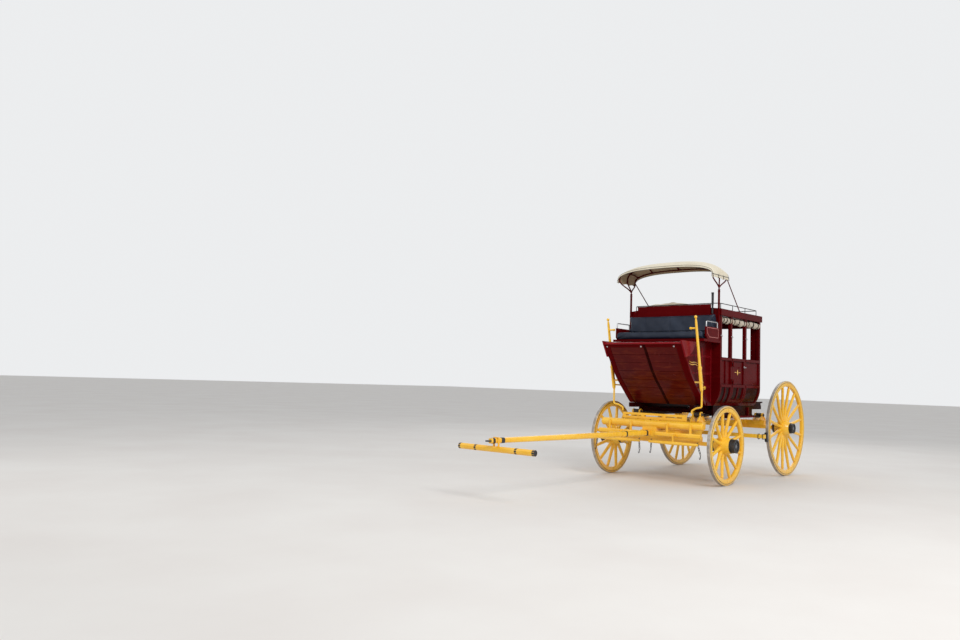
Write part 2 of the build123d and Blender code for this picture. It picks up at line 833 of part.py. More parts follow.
with BuildPart() as cabin_floor:
    slab(
        (cabin_rear_x + wall_thick, cabin_front_x - wall_thick),
        (-body_half + body_tuck + rib_depth, body_half - body_tuck - rib_depth),
        (floor_z, floor_z + floor_thick),
    )
    slab(
        (rear_bench[1] + aisle_margin, front_bench[0] - aisle_margin),
        (-bench_half + aisle_margin, bench_half - aisle_margin),
        (floor_z + floor_thick, floor_z + floor_thick + aisle_thick),
    )
keep(cabin_floor, "cabin_floor")

hinge_x = opening_x[1] - swing_gap
hinge_y = body_half + rail_proud + door_hinge_radius + 1.0
hinge_heights = (sill_z - 60.0, mid_rail_z + 70.0)
hinge_half = 30.0
with BuildPart() as cabin_side:
    for z in hinge_heights:
        low = z + hinge_half + running_gap
        bar((hinge_x, hinge_y, low), (hinge_x, hinge_y, low + 22.0), door_hinge_radius)
        slab((hinge_x, hinge_x + 40.0), (body_half, hinge_y), (low, low + 22.0))
    for x in post_centres:
        side_strip((x - rib_width / 2, x + rib_width / 2), 0.0, -rib_depth, (bottom_rail_z, eave_z))
    for bay_rear, bay_front in ((post_centres[1], post_centres[0]), (post_centres[3], post_centres[2])):
        side_strip((bay_rear, bay_front), -panel_inset, -panel_inset - panel_thick, (bottom_rail_z, sill_z))
        side_strip((bay_rear, bay_front), rail_proud, -rib_depth, (sill_z, sill_z + sill_height))
        side_strip((bay_rear, bay_front), rail_proud, -rib_depth, (mid_rail_z, mid_rail_z + mid_rail_height))
    middle = (post_centres[0] + post_centres[1]) / 2
    small_rib = (middle - small_rib_width / 2, middle + small_rib_width / 2)
    side_strip(small_rib, -rib_step, -panel_inset - panel_thick, (bottom_rail_top, sill_z))
    side_strip((cabin_rear_x, cabin_front_x), rail_proud, -rib_depth, (bottom_rail_z, bottom_rail_top))
    side_strip((cabin_rear_x, cabin_front_x), 0.0, -rib_depth, (window_head_z + 30.0, eave_z))
keep_pair(cabin_side, "cabin_side")

# Door, hinged on its front post. Its lower rear edge is cut back so that the tucked-in part swings free.
door_low = bottom_rail_top + swing_gap
door_high = sill_z + sill_height
with BuildPart() as door:
    side_strip(door_x, -panel_inset, -panel_inset - panel_thick, (door_low, door_high))
    for x in (door_x[0], door_x[1] - 42.0):
        side_strip((x, x + 42.0), 0.0, -rib_depth, (door_low, door_high))
    side_strip(door_x, rail_proud, -rib_depth, (sill_z, door_high))
    side_strip(door_x, rail_proud, -rib_depth, (mid_rail_z, mid_rail_z + mid_rail_height))
    side_strip(door_x, 0.0, -rib_depth, (door_low, door_low + 40.0))
    middle = (door_x[0] + door_x[1]) / 2
    small_rib = (middle - small_rib_width / 2, middle + small_rib_width / 2)
    side_strip(small_rib, -rib_step, -panel_inset - panel_thick, (door_low + 40.0, mid_rail_z))
    back_cut = [
        (door_x[0] - 5.0, mid_rail_z + mid_rail_height),
        (door_x[0] + 24.0, door_low - 5.0),
        (door_x[0] - 5.0, door_low - 5.0),
    ]
    wedge_clear = 20.0
    with BuildSketch(Plane.XZ.offset(-body_half - wedge_clear)) as wedge:
        with BuildLine():
            Polyline(*back_cut, close=True)
        make_face()
    extrude(wedge.sketch, amount=body_tuck + rib_depth + 2 * wedge_clear, mode=Mode.SUBTRACT)
    for z in hinge_heights:
        bar((hinge_x, hinge_y, z - hinge_half), (hinge_x, hinge_y, z + hinge_half), door_hinge_radius)
        slab((hinge_x - 90.0, hinge_x), (body_half - 4.0, hinge_y), (z - 16.0, z + 16.0))
keep_pair(door, "door")


def cross_wall(x, z):
    """A wall across the cabin between its sides, from one station and height to another."""
    low, high = z
    middle = (low + mid_rail_z) / 2
    inset = -rib_depth
    with BuildSketch(Plane.YZ.offset(x[0])) as wall:
        with BuildLine():
            Line((body_half + inset, high), (body_half + inset, mid_rail_z))
            ThreePointArc(
                (body_half + inset, mid_rail_z), (tuck_y(middle) + inset, middle), (tuck_y(low) + inset, low)
            )
            Line((tuck_y(low) + inset, low), (-tuck_y(low) - inset, low))
            ThreePointArc(
                (-tuck_y(low) - inset, low),
                (-tuck_y(middle) - inset, middle),
                (-body_half - inset, mid_rail_z),
            )
            Line((-body_half - inset, mid_rail_z), (-body_half - inset, high))
            Line((-body_half - inset, high), (body_half + inset, high))
        make_face()
    extrude(wall.sketch, amount=x[1] - x[0])


with BuildPart() as cabin_front_wall:
    cross_wall((cabin_front_x - wall_thick, cabin_front_x), (floor_z, eave_z))
keep(cabin_front_wall, "cabin_front_wall")

window_half = 270.0
window_edge = 60.0
with BuildPart() as cabin_rear_wall:
    cross_wall((cabin_rear_x, cabin_rear_x + wall_thick), (floor_z, eave_z))
    for side in (1, -1):
        window_y = side * (window_half + window_edge)
        with Locations((cabin_rear_x + wall_thick / 2, window_y, (sill_z + window_head_z) / 2)):
            Box(wall_thick * 2, 2 * window_half, window_head_z - sill_z - 2 * window_edge, mode=Mode.SUBTRACT)
keep(cabin_rear_wall, "cabin_rear_wall")

roof_x = (cabin_rear_x - fascia_overhang, cabin_front_x + fascia_overhang)
roof_half = body_half + fascia_overhang
with BuildPart() as roof:
    with BuildSketch(Plane.YZ.offset(roof_x[0])) as crown:
        with BuildLine():
            ThreePointArc((-roof_half, roof_edge_z), (0, roof_edge_z + roof_crown), (roof_half, roof_edge_z))
            Line((roof_half, roof_edge_z), (roof_half, roof_edge_z - roof_thick))
            ThreePointArc(
                (roof_half, roof_edge_z - roof_thick),
                (0, roof_edge_z - roof_thick + roof_crown),
                (-roof_half, roof_edge_z - roof_thick),
            )
            Line((-roof_half, roof_edge_z - roof_thick), (-roof_half, roof_edge_z))
        make_face()
    extrude(crown.sketch, amount=roof_x[1] - roof_x[0])
    for side in (1, -1):
        y = (side * (roof_half - fascia_thick), side * roof_half)
        slab(roof_x, y, (eave_z - 4.0, roof_edge_z - 2.0))
    for x in (roof_x[0], roof_x[1] - fascia_thick):
        slab((x, x + fascia_thick), (-roof_half, roof_half), (eave_z - 4.0, roof_edge_z - 2.0))
    slab(
        (cabin_rear_x + wall_thick, cabin_front_x - wall_thick),
        (-body_half, -body_half + rib_depth),
        (eave_z, roof_edge_z - roof_thick + 4.0),
    )
    slab(
        (cabin_rear_x + wall_thick, cabin_front_x - wall_thick),
        (body_half - rib_depth, body_half),
        (eave_z, roof_edge_z - roof_thick + 4.0),
    )
keep(roof, "roof")

rack_z = roof_edge_z + 90.0
rack_half = roof_half - 60.0
rack_radius = 7.0
rack_x = (roof_x[0] + 60.0, roof_x[1] - 60.0)
rack_foot_z = roof_edge_z + roof_crown * (1 - (rack_half / roof_half) ** 2) + 1.0
with BuildPart() as roof_rack:
    for side in (1, -1):
        y = side * rack_half
        bar((rack_x[0] - rack_radius, y, rack_z), (rack_x[1] + rack_radius, y, rack_z), rack_radius)
        for share in (0.0, 0.34, 0.67, 1.0):
            x = rack_x[0] + (rack_x[1] - rack_x[0]) * share
            bar((x, y, rack_foot_z), (x, y, rack_z), rack_radius - 1.0)
    for x in rack_x:
        bar((x, -rack_half, rack_z), (x, rack_half, rack_z), rack_radius)
keep(roof_rack, "roof_rack")

with BuildPart() as benches:
    for x in (front_bench, rear_bench):
        slab(x, (-bench_half, bench_half), (bench_top - 24.0, bench_top))
    for x in ((front_bench[0], front_bench[0] + 20.0), (rear_bench[1] - 20.0, rear_bench[1])):
        slab(x, (-bench_half, bench_half), (floor_z + floor_thick, bench_top))
keep(benches, "benches")

with BuildPart() as bench_cushions:
    for x in (front_bench, rear_bench):
        slab(
            (x[0] + 2.0, x[1] - 2.0),
            (-bench_half + 4.0, bench_half - 4.0),
            (bench_top + seat_gap, bench_top + bench_cushion),
        )
    fillet(bench_cushions.edges().filter_by(Axis.Y), 24.0)
keep(bench_cushions, "bench_cushions")

roll_radius = 56.0
roll_z = window_head_z - 32.0
with BuildPart() as curtains:
    for rear, front in zip(post_centres[1:], post_centres[:-1]):
        start = rear + rib_width / 2 + seat_gap
        end = front - rib_width / 2 - seat_gap
        bar((start, body_half - 26.0, roll_z), (end, body_half - 26.0, roll_z), roll_radius, 16)
    mirror(about=Plane.XZ)
keep(curtains, "curtains")

# Boot under the driver's feet, its sloping dash and the wings beside it
seat_board_z = bottom_rail_z + seat_board_rise
boot_top_z = seat_board_z - seat_gap
dash_top_z = bottom_rail_z + dash_top_rise


def toward(start, end, distance):
    """The (x, z) point a given distance from the first point towards the second."""
    run = hypot(end[0] - start[0], end[1] - start[1])
    return tuple(a + (b - a) * distance / run for a, b in zip(start, end))


def thickened(points, thick):
    """The (x, z) points moved to the left of their run by a thickness, mitred at each bend."""
    runs = []
    for start, end in zip(points[:-1], points[1:]):
        length = hypot(end[0] - start[0], end[1] - start[1])
        runs.append(((end[0] - start[0]) / length, (end[1] - start[1]) / length))
    moved = []
    for index, (x, z) in enumerate(points):
        before = runs[max(index - 1, 0)]
        after = runs[min(index, len(runs) - 1)]
        normal = (-before[1] - after[1], before[0] + after[0])
        share = 2 * thick / (normal[0] ** 2 + normal[1] ** 2)
        moved.append((x + normal[0] * share, z + normal[1] * share))
    return moved


dash_foot = (front_axle_x + dash_foot_x, bottom_rail_z)
dash_knee = (front_axle_x + dash_knee_x, bottom_rail_z + dash_knee_rise)
dash_top = (front_axle_x + dash_top_x, dash_top_z)
dash_line = [
    dash_foot,
    toward(dash_knee, dash_foot, dash_knee_cut),
    toward(dash_knee, dash_top, dash_knee_cut),
    dash_top,
]
dash_inner = thickened(dash_line, dash_thick)
with BuildPart() as dash:
    plate(Plane.XZ.offset(-boot_half), dash_line + dash_inner[::-1], 2 * boot_half)
keep(dash, "dash")

boot_rear_x = cabin_front_x
boot_shoulder_x = front_axle_x + seat_front_x - 30.0
riser_x = (front_axle_x + 60.0, front_axle_x + 90.0)
footboard_z = bottom_rail_z + 450.0
footboard_x = front_axle_x + 400.0
rail_front = front_axle_x - 20.0
boot_inner = boot_half - boot_wall
boot_floor_z = dash_inner[0][1]
with BuildPart() as boot:
    for y in (boot_inner, -boot_half):
        side_points = [
            (boot_rear_x, boot_floor_z),
            *dash_inner,
            (boot_shoulder_x, boot_top_z),
            (boot_rear_x, boot_top_z),
        ]
        plate(Plane.XZ.offset(-y - boot_wall), side_points, boot_wall)
    floor_points = [(boot_rear_x, bottom_rail_z), dash_foot, dash_inner[0], (boot_rear_x, boot_floor_z)]
    plate(Plane.XZ.offset(-boot_half), floor_points, 2 * boot_half)
    slab(riser_x, (-boot_inner, boot_inner), (boot_floor_z + dash_thick * 4, boot_top_z))
    slab((riser_x[1], footboard_x), (-boot_inner, boot_inner), (footboard_z, footboard_z + 24.0))
    for y in ((boot_half, boot_half + rail_proud * 2), (-boot_half - rail_proud * 2, -boot_half)):
        slab((boot_rear_x + rail_proud, rail_front), y, (bottom_rail_z, bottom_rail_top))
keep(boot, "boot")

wing_tip = (dash_top[0] + 40.0, dash_top_z + wing_rise)
wing_rear = (wing_tip[0] - wing_length, dash_top_z + wing_rise)
wing_low = (dash_top[0] - 95.0, dash_top_z - wing_drop)
wing_hollow = (wing_rear[0] + 110.0, dash_top_z - wing_drop * 0.54)
with BuildPart() as boot_wings:
    plane = Plane.XZ.offset(-boot_half - wing_thick - seat_gap)
    with BuildSketch(plane) as wing:
        with BuildLine():
            Line(wing_tip, wing_rear)
            ThreePointArc(wing_rear, wing_hollow, wing_low)
            Line(wing_low, wing_tip)
        make_face()
    extrude(wing.sketch, amount=wing_thick)
    mirror(about=Plane.XZ)
keep(boot_wings, "boot_wings")

# Driver's seat
seat_rear_x = cabin_front_x + fascia_overhang + 2.0
seat_front = front_axle_x + seat_front_x
back_thick = 24.0
back_x = (seat_rear_x, seat_rear_x + back_thick)
seat_back_top = bottom_rail_z + seat_back_rise
seat_arm_top = bottom_rail_z + seat_arm_rise
header_top = bottom_rail_z + header_rise
post_half = canopy_post_size / 2
post_x = back_x[0] + post_half
post_y = seat_half - canopy_post_inset
post_side = post_y - post_half - seat_gap
arm_rear_x = post_x + post_half + seat_gap
with BuildPart() as seat_frame:
    board_z = (seat_board_z, seat_board_z + seat_board_thick)
    slab((cabin_front_x, seat_front), (-seat_half, seat_half), board_z)
    slab(back_x, (-post_side, post_side), (seat_board_z, seat_back_top))
    slab(back_x, (-header_half, header_half), (seat_back_top, header_top))
    arm_outline = [
        (arm_rear_x, seat_board_z),
        (seat_front - 2 * seat_arm_back, seat_board_z),
        (seat_front - seat_arm_back, seat_board_z + seat_arm_back),
        (seat_front - seat_arm_back, seat_arm_top),
        (arm_rear_x, seat_arm_top),
    ]
    for y in (seat_half - seat_arm_thick, -seat_half):
        plate(Plane.XZ.offset(-y - seat_arm_thick), arm_outline, seat_arm_thick)
keep(seat_frame, "seat_frame")

cushion_z = seat_board_z + seat_board_thick + seat_gap
cushion_half = seat_half - seat_arm_thick - 6.0
with BuildPart() as seat_cushion:
    slab(
        (back_x[1] + 2.0, seat_front - 10.0),
        (-cushion_half, cushion_half),
        (cushion_z, cushion_z + seat_cushion_height),
    )
    fillet(seat_cushion.edges().filter_by(Axis.Y), 34.0)
keep(seat_cushion, "seat_cushion")

back_pad = 90.0
with BuildPart() as seat_back:
    slab(
        (back_x[1] + seat_gap, back_x[1] + back_pad),
        (-post_side + 1.0, post_side - 1.0),
        (cushion_z + seat_cushion_height + 3.0, seat_back_top),
    )
    fillet(seat_back.edges().filter_by(Axis.Y), 30.0)
keep(seat_back, "seat_back")

with BuildPart() as seat_irons:
    rail_z = seat_arm_top + seat_rail_rise
    ends = (arm_rear_x + 30.0, seat_front - seat_arm_back - 20.0)
    for side in (1, -1):
        y = side * (seat_half - seat_arm_thick / 2)
        rail_x = (ends[0] - seat_rail_radius, ends[1] + seat_rail_radius)
        bar((rail_x[0], y, rail_z), (rail_x[1], y, rail_z), seat_rail_radius)
        for x in ends:
            bar((x, y, seat_arm_top), (x, y, rail_z), seat_rail_radius)
keep(seat_irons, "seat_irons")

# Canopy over the driver, on a forked post each side
canopy_x = (front_axle_x + canopy_rear_x, front_axle_x + canopy_front_x)
canopy_end_z = bottom_rail_z + canopy_end_rise
canopy_shoulder_z = bottom_rail_z + canopy_shoulder_rise
canopy_top_z = bottom_rail_z + canopy_top_rise
canopy_fork_z = bottom_rail_z + canopy_fork_rise
canopy_half = seat_half + canopy_overhang
arm_top_z = canopy_end_z + canopy_bar * 1.6
post_foot_z = seat_board_z + seat_board_thick
rail_heights = (arm_top_z - canopy_bar / 2, arm_top_z + canopy_bar / 2)
stay_foot = (front_axle_x + canopy_stay_x, roof_edge_z + canopy_stay_radius + 3.0)
bow_outer = canopy_shell + seat_gap
bow_inner = bow_outer + canopy_bar


def canopy_section(inset):
    """Half section of the canopy, as points for lines and arcs, moved inwards by the inset."""
    half = canopy_half - inset
    shoulder = canopy_shoulder_z - inset
    top = canopy_top_z - inset
    corner = canopy_corner - inset
    return half, shoulder, top, corner


def hood_band(x, outer, inner, foot):
    """Sketch across the coach at x: the canopy's arch between two insets, down to the foot."""
    with BuildSketch(Plane.YZ.offset(x)) as band:
        for inset, base, mode in ((outer, foot, Mode.ADD), (inner, foot - 5.0, Mode.SUBTRACT)):
            half, shoulder, top, corner = canopy_section(inset)
            bend = corner * (1 - cos(radians(45)))
            with BuildLine():
                Line((half, base), (half, shoulder - corner))
                ThreePointArc(
                    (half, shoulder - corner), (half - bend, shoulder - bend), (half - corner, shoulder)
                )
                ThreePointArc((half - corner, shoulder), (0, top), (-half + corner, shoulder))
                ThreePointArc(
                    (-half + corner, shoulder), (-half + bend, shoulder - bend), (-half, shoulder - corner)
                )
                Line((-half, shoulder - corner), (-half, base))
                Line((-half, base), (half, base))
            make_face(mode=mode)
    return band.sketch


with BuildPart() as canopy_frame:
    for side in (1, -1):
        y = side * post_y
        post_sides = (y - post_half, y + post_half)
        slab((post_x - post_half, post_x + post_half), post_sides, (post_foot_z, canopy_fork_z))
        for tip in (canopy_x[0] + 30.0, post_x, canopy_x[1] - 30.0):
            bar_xz((post_x, canopy_fork_z - canopy_bar), (tip, arm_top_z), y, canopy_bar, canopy_bar)
        rail_y = side * (canopy_half - bow_inner + canopy_bar / 2)
        rail_sides = (rail_y - canopy_bar / 2, rail_y + canopy_bar / 2)
        slab((canopy_x[0] + 10.0, canopy_x[1] - 10.0), rail_sides, rail_heights)
        stay_top = (canopy_x[0] + 20.0, y, arm_top_z)
        bar(stay_top, (stay_foot[0], y, stay_foot[1]), canopy_stay_radius)
    for x in (canopy_x[0] + 2 * canopy_bar, canopy_x[1] - 2 * canopy_bar):
        extrude(hood_band(x, bow_outer, bow_inner, rail_heights[0]), amount=canopy_bar / 2, both=True)
keep(canopy_frame, "canopy_frame")

with BuildPart() as canopy:
    extrude(hood_band(canopy_x[0], 0.0, canopy_shell, canopy_end_z), amount=canopy_x[1] - canopy_x[0])
keep(canopy, "canopy")

# Brake levers, one each side of the boot
lever_foot = (front_axle_x + lever_foot_x, bottom_rail_z + lever_foot_rise)
lever_top = (front_axle_x + lever_top_x, bottom_rail_z + lever_top_rise)
lever_crank_z = bottom_rail_z - lever_crank_drop
lever_neck = 34.0
lever_handle = 92.0
lever_stay = 280.0
lever_clip_half = 31.0
lever_clip_height = 0.03


def lever_at(share, across=0.0):
    """The (x, z) point a share of the way up the lever, moved across it."""
    run = (lever_top[0] - lever_foot[0], lever_top[1] - lever_foot[1])
    length = hypot(*run)
    x = lever_foot[0] + run[0] * share + run[1] / length * across
    z = lever_foot[1] + run[1] * share - run[0] / length * across
    return x, z


with BuildPart() as brake_levers:
    joint = 0.33
    neck = 1.0 - lever_neck / hypot(lever_top[0] - lever_foot[0], lever_top[1] - lever_foot[1])
    half_foot = lever_width / 2
    half_tip = lever_tip_width / 2
    upper = [
        lever_at(joint - 0.02, half_foot * 0.85),
        lever_at(neck, half_tip),
        lever_at(neck, -half_tip),
        lever_at(joint - 0.02, -half_foot * 0.85),
    ]
    lower = [
        lever_at(0.0, half_foot * 0.5),
        lever_at(0.04, half_foot),
        lever_at(joint, half_foot),
        lever_at(joint, -half_foot),
        lever_at(0.04, -half_foot),
        lever_at(0.0, -half_foot * 0.5),
    ]
    clip = [
        lever_at(joint - lever_clip_height, lever_clip_half),
        lever_at(joint, lever_clip_half),
        lever_at(joint, -lever_clip_half),
        lever_at(joint - lever_clip_height, -lever_clip_half),
    ]
    for outline, thick in ((upper, lever_thick), (lower, lever_thick + 6.0), (clip, lever_thick + 12.0)):
        plate(Plane.XZ.offset(-lever_y - thick / 2), outline, thick)
    top = (lever_top[0], lever_y, lever_top[1])
    neck_point = lever_at(neck)
    bar((neck_point[0], lever_y, neck_point[1]), top, 9.0)
    with Locations(top):
        Sphere(lever_knob_radius)
    handle = lever_at(0.85)
    grip_y = lever_y - lever_handle
    bar((handle[0], lever_y, handle[1]), (handle[0], grip_y, handle[1]), lever_crank_radius)
    bar((handle[0], grip_y, handle[1]), (handle[0], grip_y - 12.0, handle[1]), lever_crank_radius + 5.0)
    pin = lever_at(0.125)
    bar((pin[0], boot_half, pin[1]), (pin[0], lever_y + 20.0, pin[1]), 14.0)
    stay = lever_at(0.06)
    stay_end = (stay[0] - lever_stay, stay[1] - 10.0)
    bar((stay[0], lever_y, stay[1]), (stay_end[0], boot_half + 11.0, stay_end[1]), 11.0)
    bar((stay_end[0], boot_half, stay_end[1]), (stay_end[0], boot_half + 16.0, stay_end[1]), 14.0)
    crank = [
        (lever_foot[0], lever_y, lever_foot[1] + 10.0),
        (lever_foot[0], lever_y, lever_crank_z + 26.0),
        (lever_foot[0], lever_y - 26.0, lever_crank_z),
        (lever_foot[0] - 10.0, lever_crank_y + 16.0, lever_crank_z - 40.0),
        (lever_foot[0] - 10.0, lever_crank_y, lever_crank_z - 58.0),
        (lever_foot[0] - 10.0, lever_crank_y, lever_crank_z - 100.0),
    ]
    for start, end in zip(crank[:-1], crank[1:]):
        bar(start, end, lever_crank_radius)
    for bend in crank[1:-1]:
        with Locations(bend):
            Box(lever_crank_radius * 1.7, lever_crank_radius * 1.7, lever_crank_radius * 1.7)
    mirror(about=Plane.XZ)
keep(brake_levers, "brake_levers")
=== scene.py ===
import json
import math
import bmesh
import bpy
import numpy as np
from mathutils import Matrix, Vector


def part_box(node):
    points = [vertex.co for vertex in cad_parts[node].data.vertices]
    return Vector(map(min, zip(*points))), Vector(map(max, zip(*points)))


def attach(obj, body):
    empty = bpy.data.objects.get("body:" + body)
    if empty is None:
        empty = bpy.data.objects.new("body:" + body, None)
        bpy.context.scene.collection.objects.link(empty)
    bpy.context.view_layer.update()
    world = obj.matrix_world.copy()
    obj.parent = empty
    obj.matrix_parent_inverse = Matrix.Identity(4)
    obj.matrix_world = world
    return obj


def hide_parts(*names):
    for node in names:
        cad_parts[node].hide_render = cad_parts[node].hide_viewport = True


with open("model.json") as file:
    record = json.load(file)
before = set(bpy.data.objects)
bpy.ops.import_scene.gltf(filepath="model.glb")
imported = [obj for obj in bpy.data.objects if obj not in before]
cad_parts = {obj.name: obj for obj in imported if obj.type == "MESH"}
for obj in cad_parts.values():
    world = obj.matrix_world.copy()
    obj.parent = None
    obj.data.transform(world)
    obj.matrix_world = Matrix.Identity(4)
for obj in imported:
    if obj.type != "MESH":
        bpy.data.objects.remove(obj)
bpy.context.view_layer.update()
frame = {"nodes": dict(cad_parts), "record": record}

# Stations read from the frame, in metres. +X is forward, +Y is the coach's left.
TAU = 2 * math.pi
HANDS = (("left", 1), ("right", -1))
low_of = {name: np.array(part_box(name)[0]) for name in frame["nodes"]}
high_of = {name: np.array(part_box(name)[1]) for name in frame["nodes"]}


def middle_of(node):
    """Centre of a node's box."""
    return (low_of[node] + high_of[node]) / 2


# Camera at the photograph's angle, found from the wheels and the body's edges
CAMERA_PLACE = (10.211, 5.886, 1.3525)
CAMERA_HEADING = 3.8752
CAMERA_PITCH = 0.0771
CAMERA_ROLL = 0.0328
FOCAL_PIXELS = 793.8
FRAME_PIXELS = 960.0
SENSOR_MM = 36.0


def place_camera():
    """Camera whose axes come from its heading, pitch and roll."""
    level = math.cos(CAMERA_PITCH)
    look = Vector((math.cos(CAMERA_HEADING) * level, math.sin(CAMERA_HEADING) * level, math.sin(CAMERA_PITCH)))
    right = look.cross(Vector((0, 0, 1))).normalized()
    up = right.cross(look)
    turned_right = right * math.cos(CAMERA_ROLL) + up * math.sin(CAMERA_ROLL)
    turned_up = up * math.cos(CAMERA_ROLL) - right * math.sin(CAMERA_ROLL)
    axes = Matrix((turned_right, turned_up, -look)).transposed()
    lens = bpy.data.cameras.new("camera")
    lens.sensor_width = SENSOR_MM
    lens.lens = FOCAL_PIXELS / FRAME_PIXELS * SENSOR_MM
    lens.clip_end = 500
    camera = bpy.data.objects.new("camera", lens)
    camera.matrix_world = Matrix.Translation(CAMERA_PLACE) @ axes.to_4x4()
    bpy.context.collection.objects.link(camera)
    bpy.context.scene.camera = camera


place_camera()
bpy.context.scene.view_settings.view_transform = "Standard"


# Finishes, all on the objects' own coordinates
ROAD_DUST = (0.46, 0.36, 0.25)
WHITE = (1.0, 1.0, 1.0, 1.0)
RED_SHINE = (1.0, 0.28, 0.26, 1.0)


class Finish:
    """A material with its Object coordinates ready, and short calls for the nodes it needs."""

    def __init__(self, name):
        self.material = bpy.data.materials.new(name)
        self.material.use_nodes = True
        self.nodes = self.material.node_tree.nodes
        self.shader = self.nodes["Principled BSDF"]
        self.place = self.nodes.new("ShaderNodeTexCoord").outputs["Object"]

    def feed(self, socket, value):
        """An input joined to another node's output, or set to a constant."""
        if isinstance(value, bpy.types.NodeSocket):
            self.material.node_tree.links.new(value, socket)
        else:
            socket.default_value = value

    def node(self, kind, **inputs):
        """A new node with its inputs fed, their names written with underscores for spaces."""
        node = self.nodes.new(kind)
        for name, value in inputs.items():
            self.feed(node.inputs[name.replace("_", " ")], value)
        return node

    def set(self, **inputs):
        """The shader's own inputs fed in the same way; gives the finished material."""
        for name, value in inputs.items():
            self.feed(self.shader.inputs[name.replace("_", " ")], value)
        return self.material

    def noise(self, scale, detail=3.0, stretch=(1, 1, 1)):
        """Noise factor, stretched along the axes."""
        mapped = self.node("ShaderNodeMapping", Vector=self.place, Scale=stretch).outputs["Vector"]
        noise = self.node("ShaderNodeTexNoise", Vector=mapped, Scale=scale, Detail=detail, Roughness=0.55)
        return noise.outputs["Fac"]

    def band(self, value, start, end, low=0.0, high=1.0):
        """A value's range mapped to another range, clamped."""
        ranges = {"From_Min": start, "From_Max": end, "To_Min": low, "To_Max": high}
        return self.node("ShaderNodeMapRange", Value=value, **ranges).outputs["Result"]

    def times(self, first, second):
        """Product of two values."""
        node = self.node("ShaderNodeMath")
        node.operation = "MULTIPLY"
        for socket, value in zip(node.inputs, (first, second)):
            self.feed(socket, value)
        return node.outputs["Value"]

    def blend(self, factor, first, second):
        """Colour mixed from two colours, each a tuple or a socket."""
        node = self.node("ShaderNodeMix")
        node.data_type = "RGBA"
        self.feed(node.inputs["Factor"], factor)
        sockets = [socket for socket in node.inputs if socket.type == "RGBA"]
        for socket, colour in zip(sockets, (first, second)):
            self.feed(socket, (*colour, 1.0) if isinstance(colour, tuple) else colour)
        return [socket for socket in node.outputs if socket.type == "RGBA"][0]

    def dusted(self, toned, top, most, grain, end):
        """A colour under patchy road dust that thins to nothing at a height."""
        height = self.node("ShaderNodeSeparateXYZ", Vector=self.place).outputs["Z"]
        settled = self.times(self.band(height, 0.0, top, most, 0.0), self.band(grain, 0.3, end))
        return self.blend(settled, toned, ROAD_DUST)

    def bump(self, source, strength, distance):
        """Relief too fine to be modelled."""
        node = self.node("ShaderNodeBump", Height=source, Strength=strength, Distance=distance)
        self.set(Normal=node.outputs["Normal"])


def coach_enamel(
    name, colour, pale, deep, gloss, dust_top=1.0, dust_most=0.55, coat=0.3, level=0.35, tint=WHITE
):
    """Brushed gloss enamel: drifts of tone, faint brush marks and road dust that thins with height."""
    paint = Finish(name)
    drifts = paint.blend(paint.band(paint.noise(1.7, 4.0), 0.35, 0.68), deep, colour)
    streaks = paint.band(paint.noise(9.0, 3.0, (0.6, 0.6, 3.0)), 0.5, 0.75)
    toned = paint.blend(paint.times(streaks, 0.45), drifts, pale)
    paint.bump(paint.noise(55.0, 2.0, (0.5, 0.5, 2.0)), 0.05, 0.004)
    return paint.set(
        Base_Color=paint.dusted(toned, dust_top, dust_most, paint.noise(5.0, 6.0), 0.7),
        Roughness=paint.band(paint.noise(14.0, 4.0), 0.3, 0.75, gloss, gloss + 0.2),
        Coat_Weight=coat, Coat_Roughness=0.1, Specular_IOR_Level=level, Specular_Tint=tint,
    )


def iron(name, colour, pale, rough, metal, dust_most, dust_top=1.1):
    """Forged iron: pitted, with rubbed paler patches and dust low down."""
    forged = Finish(name)
    toned = forged.blend(forged.band(forged.noise(12.0, 6.0), 0.45, 0.7), colour, pale)
    forged.bump(forged.noise(160.0, 3.0), 0.15, 0.002)
    return forged.set(
        Base_Color=forged.dusted(toned, dust_top, dust_most, forged.noise(6.0, 5.0), 0.65),
        Roughness=forged.band(forged.noise(40.0, 4.0), 0.3, 0.7, rough - 0.1, rough + 0.2),
        Metallic=metal,
    )


def leather(name, colour, pale, rough=0.42):
    """Upholstery hide: fine cell grain, with paler rubbed crowns."""
    hide = Finish(name)
    cells = hide.node("ShaderNodeTexVoronoi", Vector=hide.place, Scale=260.0)
    hide.bump(cells.outputs["Distance"], 0.25, 0.0015)
    return hide.set(
        Base_Color=hide.blend(hide.band(hide.noise(4.0, 5.0), 0.45, 0.75), colour, pale),
        Roughness=hide.band(hide.noise(9.0, 3.0), 0.3, 0.7, rough - 0.12, rough + 0.15),
        Coat_Weight=0.05, Coat_Roughness=0.3, Specular_IOR_Level=0.25,
    )


def canvas(name, colour, pale, deep):
    """Woven duck: crossed threads, weather stains and a soft sheen."""
    cloth = Finish(name)
    threads = []
    for direction in ("X", "DIAGONAL"):
        wave = cloth.node("ShaderNodeTexWave", Vector=cloth.place, Scale=75.0)
        wave.bands_direction = direction
        threads.append(wave.outputs["Fac"])
    cloth.bump(cloth.times(*threads), 0.12, 0.001)
    stained = cloth.blend(cloth.band(cloth.noise(3.2, 6.0), 0.4, 0.72), colour, deep)
    folds = cloth.times(cloth.band(cloth.noise(1.1, 3.0), 0.35, 0.7), 0.6)
    return cloth.set(
        Base_Color=cloth.blend(folds, stained, pale), Roughness=0.85, Sheen_Weight=0.15, Sheen_Roughness=0.6
    )


